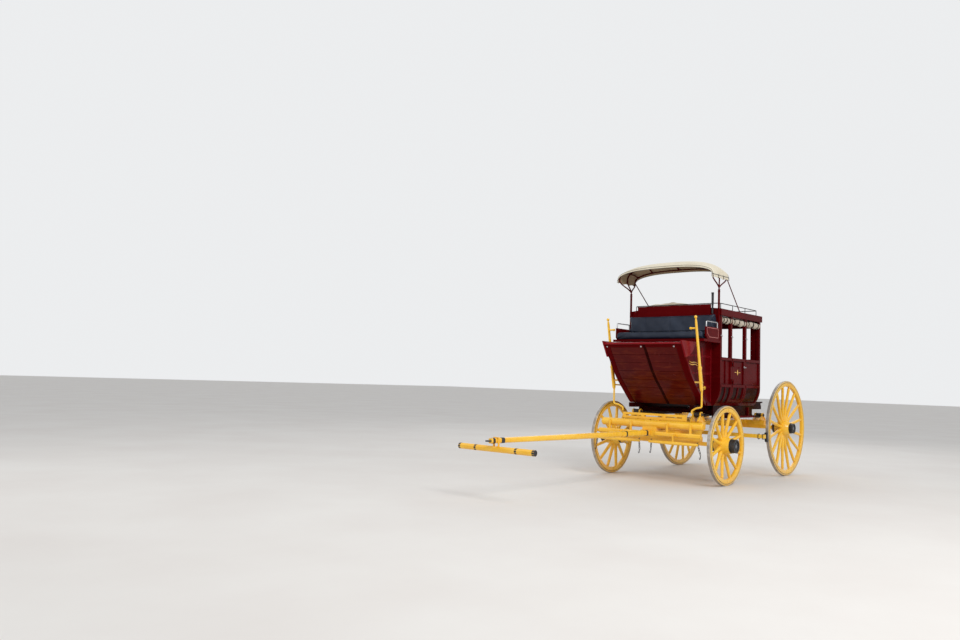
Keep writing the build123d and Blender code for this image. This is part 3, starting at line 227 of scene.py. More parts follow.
YELLOW, PALE_YELLOW, GILT, LINING, SEAM = [coach_enamel(*row) for row in [
    # name, colour, pale streaks, deep drifts, gloss, the dust's top and strength, coat
    ("yellow_enamel", (0.97, 0.57, 0.040), (0.98, 0.67, 0.13), (0.90, 0.47, 0.025), 0.2, 0.8, 0.16, 0.2),
    ("tyre_edge_enamel", (0.86, 0.52, 0.10), (0.88, 0.64, 0.26), (0.70, 0.40, 0.06), 0.35, 1.0, 0.3),
    ("gilt_paint", (0.85, 0.50, 0.06), (0.92, 0.66, 0.22), (0.70, 0.36, 0.03), 0.3, 0.9, 0.05),
    ("pale_lining", (0.50, 0.14, 0.12), (0.62, 0.26, 0.22), (0.4, 0.09, 0.08), 0.3, 0.9, 0.05),
    ("seam_shadow", (0.42, 0.20, 0.015), (0.50, 0.26, 0.03), (0.34, 0.15, 0.01), 0.4),
]]
MAROON, RED, DASH_RED, SHADED_MAROON = [coach_enamel(*row, RED_SHINE) for row in [
    # the same, then the specular level
    ("maroon_enamel", (0.1, 0.0016, 0.0026), (0.125, 0.004, 0.0045), (0.072, 0.001, 0.0018),
     0.14, 1.1, 0.04, 0.0, 0.03),
    ("red_enamel", (0.21, 0.006, 0.010), (0.27, 0.012, 0.014), (0.16, 0.004, 0.007),
     0.14, 0.6, 0.08, 0.02, 0.08),
    ("dash_enamel", (0.095, 0.006, 0.004), (0.16, 0.026, 0.008), (0.065, 0.0025, 0.003),
     0.1, 1.0, 0.05, 0.05, 0.18),
    # a darker copy of the maroon: painted shade for the tucked-under lower panels, the underframe, the platform
    # and the dash's middle rib
    ("painted_shade_maroon_enamel", (0.026, 0.0018, 0.0016), (0.055, 0.008, 0.003), (0.015, 0.0012, 0.0012),
     0.08, 1.1, 0.04, 0.0, 0.03),
]]
TYRE = iron("tyre_iron", (0.30, 0.27, 0.24), (0.55, 0.51, 0.46), 0.5, 0.35, 0.75, 1.3)
BLACK = iron("black_iron", (0.016, 0.016, 0.019), (0.040, 0.040, 0.046), 0.34, 0.2, 0.07)
GREY_IRON = iron("grey_iron", (0.13, 0.13, 0.14), (0.24, 0.24, 0.25), 0.4, 0.6, 0.1)
STEEL = iron("rail_steel", (0.45, 0.45, 0.46), (0.62, 0.62, 0.62), 0.3, 0.9, 0.0)
NAVY = leather("navy_leather", (0.011, 0.017, 0.034), (0.026, 0.036, 0.060))
NAVY_DARK = leather("navy_piping", (0.010, 0.014, 0.026), (0.03, 0.04, 0.06), 0.35)
STRAP = leather("brace_hide", (0.030, 0.022, 0.018), (0.09, 0.07, 0.055), 0.5)
CREAM = canvas("cream_canvas", (0.70, 0.62, 0.46), (0.80, 0.74, 0.60), (0.56, 0.47, 0.32))
TAN = canvas("tan_lining", (0.42, 0.30, 0.17), (0.50, 0.38, 0.24), (0.34, 0.23, 0.12))
BEIGE = canvas("beige_canvas", (0.50, 0.43, 0.33), (0.62, 0.56, 0.46), (0.38, 0.31, 0.22))

# Each slot's finishes; the first is the one its plain solids wear
finishes_of_slot = {
    "yellow_paint": (YELLOW, PALE_YELLOW, GILT, SEAM),
    "maroon_paint": (MAROON, DASH_RED, SHADED_MAROON),
    "red_paint": (RED, LINING),
    "tyre_iron": (TYRE,),
    "black_iron": (BLACK,),
    "bright_steel": (STEEL, GREY_IRON),
    "navy_leather": (NAVY, NAVY_DARK),
    "brace_leather": (STRAP,),
    "cream_canvas": (CREAM,),
    "beige_canvas": (BEIGE,),
}
slot_of_node = {row["node"]: row["material_slot"] for row in frame["record"]["subparts"]}
finish_of_node = {
    "draught_irons": YELLOW,
    "dash": DASH_RED,
    # the underframe and the platform wear the maroon's painted-shade copy
    "underframe": SHADED_MAROON,
    "roof_rack": BLACK,
    "rear_platform": SHADED_MAROON,
}
for node in frame["nodes"]:
    worn = bpy.data.objects[node].data.materials
    worn.clear()
    worn.append(finish_of_node.get(node, finishes_of_slot[slot_of_node[node]][0]))


# Points for shapes
def unit(vectors):
    """Vectors brought to length one, along the last axis."""
    return vectors / np.linalg.norm(vectors, axis=-1, keepdims=True)


def between(start, end, steps):
    """Evenly spaced points from one place to another."""
    return np.linspace(np.asarray(start, float), np.asarray(end, float), steps)


def bend(near, corner, far, steps, ends=True):
    """A quadratic curve from near to far that leans on a corner."""
    share = np.linspace(0, 1, steps, endpoint=ends)[:, None]
    return (1 - share) ** 2 * near + 2 * share * (1 - share) * corner + share ** 2 * far


def smooth_line(corners, steps=12, tension=0.5):
    """A path whose corners are rounded by curves between points a share of the way to the runs' middles."""
    corners = np.asarray(corners, float)
    middles = (corners[1:] + corners[:-1]) / 2
    reach = tension * 2 * 0.999
    runs = [corners[:1]]
    for before, corner, after in zip(middles[:-1], corners[1:-1], middles[1:]):
        near, far = corner + (before - corner) * reach, corner + (after - corner) * reach
        runs.append(bend(near, corner, far, steps, ends=False))
    return np.concatenate(runs + [corners[-1:]])


def superellipse(turn, power):
    """Cosine and sine of each turn, each to the power 2/power with its sign kept."""
    return [np.sign(ratio) * np.abs(ratio) ** (2 / power) for ratio in (np.cos(turn), np.sin(turn))]


def section(power, sides):
    """A superellipse of half size one round a section, as two rows of coordinates."""
    return superellipse(np.arange(sides) * TAU / sides + math.pi / sides, power)


def swept(path, half_width, half_depth=None, power=2.0, sides=16, up=(0, 0, 1)):
    """Superellipse section carried along a path; the half sizes may change from point to point.

    At each point the section's first axis is the tangent crossed with `up`, its second the axis across both.
    """
    path = np.asarray(path, float)
    half_depth = half_width if half_depth is None else half_depth
    half_width, half_depth = (
        np.broadcast_to(np.asarray(half, float), len(path)) for half in (half_width, half_depth)
    )
    tangent = unit(np.gradient(path, axis=0))
    first = unit(np.cross(tangent, np.asarray(up, float)))
    second = np.cross(first, tangent)
    across, along = section(power, sides)
    return (
        path[:, None]
        + first[:, None] * (across * half_width[:, None])[..., None]
        + second[:, None] * (along * half_depth[:, None])[..., None]
    )


def turned(profile, centre, side=1, segments=72, axis=1):
    """Profile of (offset, radius) pairs turned about an axis through the centre."""
    profile = np.asarray(profile, float)
    turn = np.arange(segments) * TAU / segments
    points = np.zeros((len(profile), segments, 3))
    first, second = [(1, 2), (0, 2), (0, 1)][axis]
    points[..., axis] = side * profile[:, :1]
    points[..., first] = profile[:, 1:] * np.cos(turn)
    points[..., second] = profile[:, 1:] * np.sin(turn)
    return points + np.asarray(centre, float)


def along_x(loop, start, end):
    """A closed (y, z) loop at two stations."""
    return np.array([[(x, *point) for point in loop] for x in (start, end)])


def block(low, high, edge):
    """A box with softened edges: four sections along X, the end ones drawn in by the edge."""
    low, high = np.asarray(low, float), np.asarray(high, float)
    centre, half = (low + high) / 2, (high - low) / 2
    draw = np.array([edge, 0, 0, edge])[:, None]
    corners = np.repeat(np.array([(1, 1), (-1, 1), (-1, -1), (1, -1)]), 2, axis=0)
    nudge = np.array([(0, -1), (-1, 0), (1, 0), (0, -1), (0, 1), (1, 0), (-1, 0), (0, 1)]) * edge
    points = np.zeros((4, 8, 3))
    points[..., 0] = np.array([-half[0], -half[0] + edge, half[0] - edge, half[0]])[:, None]
    points[..., 1] = corners[:, 0] * (half[1] - draw) + nudge[:, 0]
    points[..., 2] = corners[:, 1] * (half[2] - draw) + nudge[:, 1]
    return points + centre


class Shape:
    """Points and faces gathered from several grids, then written to one mesh."""

    def __init__(self):
        self.points = []
        self.faces = []
        self.caps = []
        self.count = 0

    def grid(self, points, close_rows=False, close_columns=False):
        """A grid of points (rows, columns, 3) joined by quads, closed round where asked."""
        rows, columns = points.shape[:2]
        row = np.arange(rows if close_rows else rows - 1)
        column = np.arange(columns if close_columns else columns - 1)
        row, column = np.meshgrid(row, column, indexing="ij")
        here, ahead = row * columns, (row + 1) % rows * columns
        aside = (column + 1) % columns
        quads = np.stack([here + column, here + aside, ahead + aside, ahead + column], axis=-1)
        self.faces.append(quads.reshape(-1, 4) + self.count)
        self.points.append(points.reshape(-1, 3))
        self.count += rows * columns
        return self

    def loft(self, points):
        """A closed tube through sections (rows, columns, 3), with a flat face on each end."""
        rows, columns = points.shape[:2]
        for first in (self.count, self.count + (rows - 1) * columns):
            self.caps.append(np.arange(first, first + columns))
        return self.grid(points, close_columns=True)

    def bar(self, path, half_width, half_depth=None, **section):
        """A swept section with flat ends."""
        return self.loft(swept(path, half_width, half_depth, **section))

    def ring(self, path, half_width, half_depth=None, **section):
        """A swept section whose last place joins its first."""
        return self.grid(swept(path, half_width, half_depth, **section), close_rows=True, close_columns=True)

    def lathe(self, profile, centre, side=1, segments=72, axis=1, closed=False):
        """A turned profile, joined end to end where it is closed."""
        return self.grid(turned(profile, centre, side, segments, axis), close_rows=closed, close_columns=True)

    def heads(self, centres, radius, rise, direction, segments=12):
        """Low round heads standing on the given points, facing one direction."""
        direction = unit(np.asarray(direction, float))
        other = np.array([0, 0, 1.0]) if abs(direction[2]) < 0.9 else np.array([1.0, 0, 0])
        first = unit(np.cross(direction, other))
        second = np.cross(direction, first)
        lift = np.linspace(0, math.pi / 2, 5)
        height = np.concatenate([[-0.3 * rise], np.sin(lift) * rise])[:, None, None]
        reach = np.concatenate([[radius], np.cos(lift) * radius])[:, None, None]
        turn = np.arange(segments)[:, None] * TAU / segments
        head = height * direction + reach * (np.cos(turn) * first + np.sin(turn) * second)
        for centre in centres:
            self.grid(head + np.asarray(centre, float), close_columns=True)
        return self

    def handed(self, side):
        """The shape as drawn for side 1, or on the other side of the centre plane for side -1."""
        self.points = [points * (1, side, 1) for points in self.points]
        return self

    def mirrored(self):
        """The same shape again on the other side of the centre plane."""
        faces = np.concatenate(self.faces) + self.count
        self.points.append(np.concatenate(self.points) * (1, -1, 1))
        self.faces.append(faces[:, ::-1])
        self.caps += [cap + self.count for cap in self.caps]
        self.count *= 2
        return self

    def piece(self, name, finish, body="coach", replaces=(), crease=35.0):
        """One object from the shape: doubles merged, faces outward, riding on a body, in its finish's slot."""
        mesh = bpy.data.meshes.new(name)
        faces = np.concatenate(self.faces).tolist() + [cap.tolist() for cap in self.caps]
        mesh.from_pydata(np.concatenate(self.points).tolist(), [], faces)
        shell = bmesh.new()
        shell.from_mesh(mesh)
        bmesh.ops.remove_doubles(shell, verts=shell.verts, dist=2e-5)
        bmesh.ops.dissolve_degenerate(shell, edges=shell.edges, dist=1e-6)
        bmesh.ops.recalc_face_normals(shell, faces=shell.faces)
        shell.to_mesh(mesh)
        shell.free()
        mesh.polygons.foreach_set("use_smooth", np.ones(len(mesh.polygons), dtype=bool))
        mesh.set_sharp_from_angle(angle=math.radians(crease))
        mesh.materials.append(finish)
        thing = bpy.data.objects.new(name, mesh)
        bpy.context.collection.objects.link(thing)
        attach(thing, body)
        if replaces:
            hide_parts(*replaces)
        return thing


# Wheels: spokes, felloes and nave in yellow wood, an iron tyre with painted edges, a black hub cap
FRONT_X, _, FRONT_Z = middle_of("tyre_front_left")
REAR_X, _, REAR_Z = middle_of("tyre_rear_left")
WHEEL_Y = middle_of("tyre_front_left")[1]


def spokes_of(count, rim, side, centre):
    """Tapered oval spokes, dished inwards at the foot: a superellipse section on each of a row of stations."""
    foot, tip = 0.098, rim - 0.055
    reach = np.array([0.0, 0.05, 0.10, 0.16, 0.24, 0.36, 0.52, 0.68, 0.82, 0.90, 0.935, 0.95, 1.0])
    wide = np.array([52, 54, 53, 49, 46, 46, 46, 44, 42, 43, 44, 34, 34]) / 2000
    deep = np.array([66, 66, 62, 54, 48, 45, 44, 42, 40, 41, 43, 34, 34]) / 2000
    radius = foot + reach * (tip - foot)
    offset = -0.046 * (1 - reach) * side
    across, along = section(2.6, 14)
    turn = (np.arange(count) + 0.5) * TAU / count
    radial = np.stack([np.cos(turn), np.zeros(count), np.sin(turn)], 1)
    tangent = np.stack([-np.sin(turn), np.zeros(count), np.cos(turn)], 1)
    return centre + (
        radial[:, None, None] * radius[None, :, None, None]
        + tangent[:, None, None] * (wide[:, None] * across)[None, ..., None]
        + np.array([0, 1.0, 0]) * (offset[:, None] + deep[:, None] * along)[None, ..., None]
    )


def make_wheel(corner, centre, side, radius, count, cap_radius, cap_length):
    """One wheel's pieces. Profiles run outwards from the wheel's middle plane, as (offset, radius)."""
    body = f"wheel_{corner}"
    rim = radius - 0.028
    end = 0.058 + cap_length
    nave_end = 0.058 + cap_length * 0.22

    wood = Shape()
    felloe = [
        (-0.026, rim), (0.026, rim), (0.026, rim - 0.050), (0.022, rim - 0.058), (0.014, rim - 0.062),
        (-0.014, rim - 0.062), (-0.022, rim - 0.058), (-0.026, rim - 0.050),
    ]
    nave = [
        (-0.190, 0.0304), (-0.190, 0.078), (-0.186, 0.084), (-0.152, 0.086), (-0.138, 0.093), (-0.115, 0.107),
        (-0.092, 0.119), (-0.078, 0.1235), (-0.046, 0.125), (-0.014, 0.1235), (0.008, 0.119),
        (nave_end - 0.036, 0.109), (nave_end - 0.008, cap_radius + 0.010), (nave_end, cap_radius + 0.007),
        (nave_end, 0.0304),
    ]
    wood.lathe(felloe, centre, side, 120, closed=True).lathe(nave, centre, side, closed=True)
    for spoke in spokes_of(count, rim, side, centre):
        wood.loft(spoke)
    wood.piece(f"{body}_wood", YELLOW, body, [body])

    joints = Shape()
    round_felloe = [
        (-0.0262, 0.001), (-0.0262, 0.0500), (-0.014, 0.0622),
        (0.014, 0.0622), (0.0262, 0.0500), (0.0262, 0.001),
    ]
    for turn in (np.arange(count // 2) * 2 + 1.0) * TAU / count:
        out = np.array([math.cos(turn), 0, math.sin(turn)])
        path = [centre + out * (rim - depth) + (0, side * offset, 0) for offset, depth in round_felloe]
        joints.bar(path, 0.0009, sides=6, up=(-math.sin(turn), 0.01, math.cos(turn)))
    joints.piece(f"{body}_joints", SEAM, body)

    tread = [
        (-0.019, radius), (0.019, radius), (0.0225, radius - 0.003), (0.023, radius - 0.008),
        (0.023, rim + 0.001), (-0.023, rim + 0.001), (-0.023, radius - 0.008), (-0.0225, radius - 0.003),
    ]
    Shape().lathe(tread, centre, side, 120, closed=True).piece(f"{body}_tyre", TYRE, body, [f"tyre_{corner}"])

    edges, lines = Shape(), Shape()
    edge = [
        (0.0226, rim + 0.002), (0.0226, radius - 0.005), (0.0238, radius - 0.006), (0.0242, rim + 0.012),
        (0.0240, rim + 0.003),
    ]
    # a black ring where the tyre meets the felloe: painted shade of the gap between them
    line = [
        (0.0225, rim - 0.003), (0.0225, rim + 0.002), (0.0258, rim + 0.0018), (0.0266, rim - 0.001),
        (0.0262, rim - 0.003),
    ]
    for face in (side, -side):
        edges.lathe(edge, centre, face, 120, closed=True)
        lines.lathe(line, centre, face, 120, closed=True)
    edges.piece(f"{body}_tyre_edge", PALE_YELLOW, body)
    lines.piece(f"{body}_rim_gap_shade", BLACK, body)

    cap = Shape()
    barrel = [
        (nave_end - 0.001, 0.0405), (nave_end - 0.001, cap_radius + 0.003),
        (nave_end + 0.012, cap_radius + 0.003), (nave_end + 0.014, cap_radius - 0.003),
        (nave_end + 0.018, cap_radius - 0.003),
        (nave_end + 0.020, cap_radius + 0.001), (nave_end + 0.028, cap_radius + 0.001),
        (nave_end + 0.030, cap_radius - 0.004), (end - 0.012, cap_radius - 0.004),
        (end - 0.010, cap_radius - 0.001),
        (end - 0.002, cap_radius - 0.001), (end, cap_radius - 0.003), (end, cap_radius * 0.80),
        (end - 0.003, cap_radius * 0.78), (end - 0.012, cap_radius * 0.77), (end - 0.012, cap_radius * 0.50),
        (end - 0.005, cap_radius * 0.48), (end - 0.005, cap_radius * 0.40), (end - 0.012, cap_radius * 0.38),
        (end - 0.012, 0.0), (nave_end + 0.004, 0.0), (nave_end + 0.004, 0.0405),
    ]
    band = [
        (-0.189, 0.0845), (-0.189, 0.088), (-0.186, 0.0895),
        (-0.158, 0.0895), (-0.156, 0.088), (-0.156, 0.0845),
    ]
    cap.lathe(barrel, centre, side, 64, closed=True).lathe(band, centre, side, 64, closed=True)
    ring = cap_radius * 0.635
    turn = (np.arange(8) + 0.25) * TAU / 8
    bolts = np.stack([np.cos(turn) * ring, np.full(8, side * (end - 0.0115)), np.sin(turn) * ring], 1) + centre
    cap.heads(bolts, 0.006, 0.005, (0, side, 0), 8).piece(f"{body}_cap", BLACK, body, [f"hub_cap_{corner}"])

    flats = [(0.0125, 1.0), (0.008, 1.0), (0.006, 0.88), (0.006, 0.40), (0.008, 0.36), (0.008, 0.0)]
    nut = [(end - depth, cap_radius * 0.34 * scale) for depth, scale in flats]
    Shape().lathe(nut, centre, side, 6).piece(f"{body}_nut", GREY_IRON, body)


for corner, centre_x, centre_z, *sizes in [
    # radius, spokes, cap's radius and length
    ("front", FRONT_X, FRONT_Z, 0.560, 12, 0.098, 0.099),
    ("rear", REAR_X, REAR_Z, 0.760, 16, 0.080, 0.075),
]:
    for hand, side in HANDS:
        make_wheel(f"{corner}_{hand}", np.array([centre_x, side * WHEEL_Y, centre_z]), side, *sizes)


# The body's side: full width above the middle rail, drawn in on an arc below it
BODY_HALF = 0.750
RAIL_Z = low_of["cabin_side_left"][2]
MID_Z = RAIL_Z + 0.275
SILL_Z = RAIL_Z + 0.672
LOW_Z = RAIL_Z + 0.042
TUCK_RADIUS = (0.275 ** 2 + 0.110 ** 2) / 0.220
CABIN_FRONT = high_of["cabin_side_left"][0]
CABIN_REAR = low_of["cabin_side_left"][0]
POSTS = np.array([CABIN_FRONT - 0.025, FRONT_X - 0.570, FRONT_X - 1.080, CABIN_REAR + 0.025])
RIB = 0.025
SMALL_RIB = 0.014
DOOR_REAR, DOOR_FRONT = POSTS[2] + RIB + 0.006, POSTS[1] - RIB - 0.006
DOOR_MIDDLE = (DOOR_REAR + DOOR_FRONT) / 2
HOOK_Z = 2.14


def side_y(z):
    """Half width at a height: the arc's centre plus the root of its radius squared less the drop squared."""
    drop = np.maximum(0.0, MID_Z - np.asarray(z, float))
    return BODY_HALF - TUCK_RADIUS + np.sqrt(TUCK_RADIUS ** 2 - drop ** 2)


def side_panel(shape, start, end, low):
    """A thin panel on the body's side between two stations, from a height up to the middle rail."""
    z = np.linspace(low, MID_Z - 0.001, 10)
    outer, inner = (np.stack([side_y(z) - sunk, z], 1) for sunk in (0.0155, 0.0185))
    shape.loft(along_x(np.concatenate([outer, inner[::-1]]), start, end))


def side_bead(shape, start, end, low, high, sunk, radius):
    """A round bead along a rectangle of (x, z) on the body's side."""
    corners = np.array([(start, low), (end, low), (end, high), (start, high), (start, low)])
    for before, after in zip(corners[:-1], corners[1:]):
        run = between(before, after, 9 if abs(before[1] - after[1]) > 0.02 else 2)
        path = np.stack([run[:, 0], side_y(run[:, 1]) - sunk, run[:, 1]], 1)
        shape.bar(path, radius, sides=8, up=(0, 1, 0))


def side_bays():
    """Panels between the ribs: ones below the middle rail in the maroon's darker copy, which is painted shade,
    and beaded ones above it.
    """
    above = (MID_Z + 0.052, SILL_Z - 0.012, 0.016, 0.0045)
    front_middle = (POSTS[0] + POSTS[1]) / 2
    shaded, beads = Shape(), Shape()
    for start, end in [
        (POSTS[3] + RIB, POSTS[2] - RIB),
        (POSTS[1] + RIB, front_middle - SMALL_RIB),
        (front_middle + SMALL_RIB, POSTS[0] - RIB),
    ]:
        side_panel(shaded, start + 0.001, end - 0.001, LOW_Z + 0.001)
        side_bead(beads, start + 0.010, end - 0.010, LOW_Z + 0.010, MID_Z - 0.010, 0.014, 0.0040)
        side_bead(beads, start + 0.010, end - 0.010, *above)
    shaded.mirrored().piece("lower_panels", SHADED_MAROON)
    beads.mirrored().piece("panel_beads", MAROON)
    low = LOW_Z + 0.046
    halves = ((DOOR_REAR + 0.066, DOOR_MIDDLE - SMALL_RIB), (DOOR_MIDDLE + SMALL_RIB, DOOR_FRONT - 0.043))
    for hand, side in HANDS:
        shaded, beads = Shape(), Shape()
        for start, end in halves:
            side_panel(shaded, start, end, low + 0.001)
            side_bead(beads, start + 0.006, end - 0.006, low + 0.008, MID_Z - 0.009, 0.014, 0.0035)
        side_bead(beads, DOOR_REAR + 0.052, DOOR_FRONT - 0.052, *above)
        shaded.handed(side).piece(f"door_{hand}_lower_panels", SHADED_MAROON, f"door_{hand}")
        beads.handed(side).piece(f"door_{hand}_beads", MAROON, f"door_{hand}")


def ornament(size=0.11):
    """An upright lozenge between two long leaves, as strips along their length s.

    A strip's half width is its greatest one times (1 - |2s - 1|^1.3).
    """
    gilt = Shape()
    share = np.linspace(0.02, 0.98, 15)
    for start, end, wide in [
        # start (x, z), end (x, z), greatest half width
        ((0.0, -0.42), (0.0, 0.42), 0.20),
        ((-0.24, 0.0), (-1.0, 0.0), 0.055),
        ((0.24, 0.0), (1.0, 0.0), 0.055),
    ]:
        start, end = np.array(start), np.array(end)
        line = (DOOR_MIDDLE, (MID_Z + SILL_Z) / 2 + 0.03) + size * (start + (end - start) * share[:, None])
        width = size * wide * (1 - np.abs(2 * share - 1) ** 1.3)
        path = np.stack([line[:, 0], side_y(line[:, 1]) - 0.0168, line[:, 1]], 1)
        gilt.bar(path, np.maximum(width, 0.0008), 0.0012, sides=8, up=(0, 1, 0))
    return gilt


def door_handle():
    """A bent lever on a round plate."""
    x, y, z = DOOR_REAR + 0.021, BODY_HALF, SILL_Z - 0.085
    corners = [
        (x, y, z), (x, y + 0.030, z), (x + 0.03, y + 0.036, z - 0.004), (x + 0.075, y + 0.034, z - 0.008)
    ]
    stem = smooth_line(corners, 8)
    thick = np.interp(np.linspace(0, 1, len(stem)), [0, 0.5, 1], [0.005, 0.006, 0.0085])
    return Shape().heads([(x, y, z)], 0.017, 0.005, (0, 1, 0), 16).bar(stem, thick, sides=10)


def post_hooks():
    """A curtain hook on each post."""
    hooks = Shape()
    for x in POSTS[:3]:
        hooks.heads([(x, BODY_HALF - 0.001, HOOK_Z)], 0.010, 0.006, (0, 1, 0))
        hook = [(0.0, 0.0), (0.020, 0.0), (0.024, -0.012), (0.014, -0.020)]
        path = smooth_line([(x, BODY_HALF + out, HOOK_Z + rise) for out, rise in hook], 6)
        hooks.bar(path, 0.0032, sides=8, up=(1, 0, 0))
    hooks.mirrored().piece("post_hooks", STEEL)


side_bays()
for hand, side in HANDS:
    ornament().handed(side).piece(f"door_{hand}_ornament", GILT, f"door_{hand}")
    door_handle().handed(side).piece(f"door_{hand}_handle", STEEL, f"door_{hand}")
post_hooks()


# Canopy: one domed sheet of duck over three arched bows
CANOPY_REAR = low_of["canopy"][0]
CANOPY_FRONT = high_of["canopy"][0]
CANOPY_HALF = high_of["canopy"][1] + 0.006
CANOPY_BASE = low_of["canopy"][2] + 0.050
CANOPY_POWER = 2.7
BOW_SHARES = (0.045, 0.5, 0.955)
BOW_FOOT = 0.10
BOW_INSET = 0.016
POST_X = FRONT_X - 0.157
POST_Y = 0.738
FORK_Z = 2.800
SEAT_Z = 2.060


def canopy_points(share, turn, inset=0.0):
    """Superellipse arch across the coach at a share of its length and a turn: (x, y, z).

    The crown stands 0.165 + 0.088 (1 - |2 share - 1|^2.6) over the base: most in the middle.
    """
    share, turn = np.broadcast_arrays(np.asarray(share, float), np.asarray(turn, float))
    across, up = superellipse(turn, CANOPY_POWER)
    rise = 0.165 + 0.088 * (1 - np.abs(2 * share - 1) ** 2.6) - inset
    x = CANOPY_REAR + (CANOPY_FRONT - CANOPY_REAR) * share
    return np.stack([x, (CANOPY_HALF - inset) * across, CANOPY_BASE + rise * np.abs(up)], -1)


def turn_on(side, turn):
    """A turn counted from the left foot of the arch, or from the right one for side -1."""
    return turn if side > 0 else math.pi - turn


def canopy_sheet():
    """The arch above, slack between the bows, with scalloped sides and a short hem at front and rear."""
    hems, skirts = [0.030, 0.019, 0.008], [1.0, 0.75, 0.5, 0.25]
    share = np.concatenate([np.zeros(3), np.linspace(0, 1, 49), np.ones(3)])
    hem = np.concatenate([hems, np.zeros(49), hems[::-1]])
    turn = np.concatenate([np.zeros(4), np.linspace(0, math.pi, 141), [math.pi] * 4])
    drop = np.concatenate([skirts, np.zeros(141), skirts[::-1]])
    share, turn = np.meshgrid(share, turn, indexing="ij")
    points = canopy_points(share, turn)
    slack = np.sin(share * TAU) ** 2 * np.sin(turn) ** 0.5
    ripple = 0.0030 * np.sin(turn * 23 + 3 * np.sin(share * 5)) * np.exp(-((np.sin(turn) - 0.25) / 0.28) ** 2)
    points[..., 2] -= 0.007 * slack - ripple * np.sin(share * math.pi)
    points[..., 2] -= drop * (0.050 - 0.017 * np.abs(np.sin(share * 3 * math.pi)) ** 0.8)
    points[..., 1] += np.sign(points[..., 1]) * drop * 0.006 * np.sin(share * 9 * math.pi)
    low = hem[:, None] * np.ones_like(turn)
    points[..., 2] -= low * (1 - 0.6 * drop) * np.abs(np.sin(turn)) ** 0.3
    points[..., 1] *= 1 - 0.25 * low * np.abs(np.cos(turn)) ** 3
    points[..., 0] += np.sign(share - 0.5) * 0.003 * (low > 0)
    thing = Shape().grid(points).piece("canopy_sheet", CREAM, "coach", ["canopy"], crease=70.0)
    thing.data.materials.append(TAN)
    solid = thing.modifiers.new("thickness", "SOLIDIFY")
    solid.thickness = 0.003
    solid.offset = 0.0
    solid.material_offset = 1
    solid.material_offset_rim = 0
    lengths = np.linalg.norm(np.diff(points, axis=1), axis=2).sum(axis=1)
    widths = np.linalg.norm(np.diff(points, axis=0), axis=2).sum(axis=0)
    return thing, (float(lengths[3:-3].mean()), float(widths.mean()))


def canopy_trims():
    """Cords along the sheet's four edges and its hems, with knots and loose ends at the sides."""
    trims = Shape()
    turn = np.linspace(0, math.pi, 121)
    for share, push in ((0.0, -0.0035), (1.0, 0.0035)):
        trims.bar(canopy_points(share, turn) + (push, 0, -0.002), 0.0028, sides=8, up=(1, 0, 0))
        hem = (canopy_points(share, turn) + (push * 1.4, 0, -0.030)) * (1, 0.999, 1)
        trims.bar(hem[6:-6], 0.0030, sides=8, up=(1, 0, 0))
    share = np.linspace(0, 1, 60)
    for side in (1, -1):
        edge = canopy_points(share, turn_on(side, 0.0))
        edge[:, 1] += side * 0.0035
        edge[:, 2] += 0.006 - 0.004 * np.abs(np.sin(share * 3 * math.pi))
        trims.bar(edge, 0.0038, sides=8)
        for place in (0.0, 1 / 3, 2 / 3, 1.0):
            knot = canopy_points(place, 0.0) * (1, side, 1) + (0, side * 0.006, -0.004)
            for tail in ((-0.012, 0.0, -0.040), (0.010, side * 0.002, -0.034)):
                end = smooth_line([knot, knot + (0, side * 0.004, -0.016), knot + np.array(tail)], 6)
                trims.bar(end, 0.0026, sides=6, up=(1, 0, 0))
            trims.heads([knot], 0.007, 0.006, (0, side, 0), 10)
    return trims.piece("canopy_cords", BLACK)


def canopy_irons():
    """Forked posts and stays of round bar, and bows that follow the canopy's own arch from inside."""
    irons = Shape()
    for side in (1, -1):
        foot, fork = (np.array([POST_X, side * POST_Y, z]) for z in (SEAT_Z + 0.001, FORK_Z))
        size = np.interp(np.linspace(0, 1, 8), [0, 0.04, 0.09, 1], [0.0158, 0.0158, 0.0150, 0.0145])
        irons.bar(between(foot, fork, 8), size, power=3.2, up=(1, 0, 0))
        for height, radius in ((FORK_Z - 0.022, 0.0185), (FORK_Z + 0.004, 0.0185), (SEAT_Z + 0.262, 0.0180)):
            collar = [
                (-0.007, 0.012), (-0.007, radius - 0.002), (-0.005, radius),
                (0.005, radius), (0.007, radius - 0.002), (0.007, 0.012),
            ]
            irons.lathe(collar, (POST_X, side * POST_Y, height), 1, 24, axis=2)
        tips = [canopy_points(share, turn_on(side, BOW_FOOT), BOW_INSET) for share in BOW_SHARES]
        start = fork + (0, 0, -0.018)
        for tip in tips:
            branch = smooth_line([start, start + (0, 0, 0.075), tip + (0, 0, -0.075), tip], 10)
            irons.bar(branch, 0.0095, power=2.4, sides=12, up=(0.02, 1, 0))
        stay_foot = np.array([FRONT_X - 0.870, side * POST_Y, 2.5405])
        irons.bar(between(stay_foot, tips[0] + (0, 0, -0.030), 14), 0.0075, sides=12, up=(0, 1, 0))
        irons.heads([stay_foot + (0, 0, -0.006)], 0.018, 0.012, (0, 0, 1), 16)
    turn = np.linspace(BOW_FOOT, math.pi - BOW_FOOT, 90)
    for share in BOW_SHARES:
        bow = canopy_points(share, turn, BOW_INSET)
        irons.bar(bow, 0.0095, 0.0075, power=3.0, sides=12, up=(1, 0, 0))
    share = np.linspace(BOW_SHARES[0], BOW_SHARES[2], 30)
    for angle in (0.42, 1.05, math.pi / 2, math.pi - 1.05, math.pi - 0.42):
        irons.bar(canopy_points(share, angle, 0.021), 0.013, 0.004, power=4.0, sides=12)
    irons.piece("canopy_bows", MAROON, "coach", ["canopy_frame"])


canopy, CANOPY_FLAT = canopy_sheet()
canopy_cords = canopy_trims()
canopy_irons()


# Cushions: hide pads swollen by a short cloth simulation, then drawn in at seams and buttons
SWELL_MOST = 0.022
SWELL_PRESSURE = 4.0


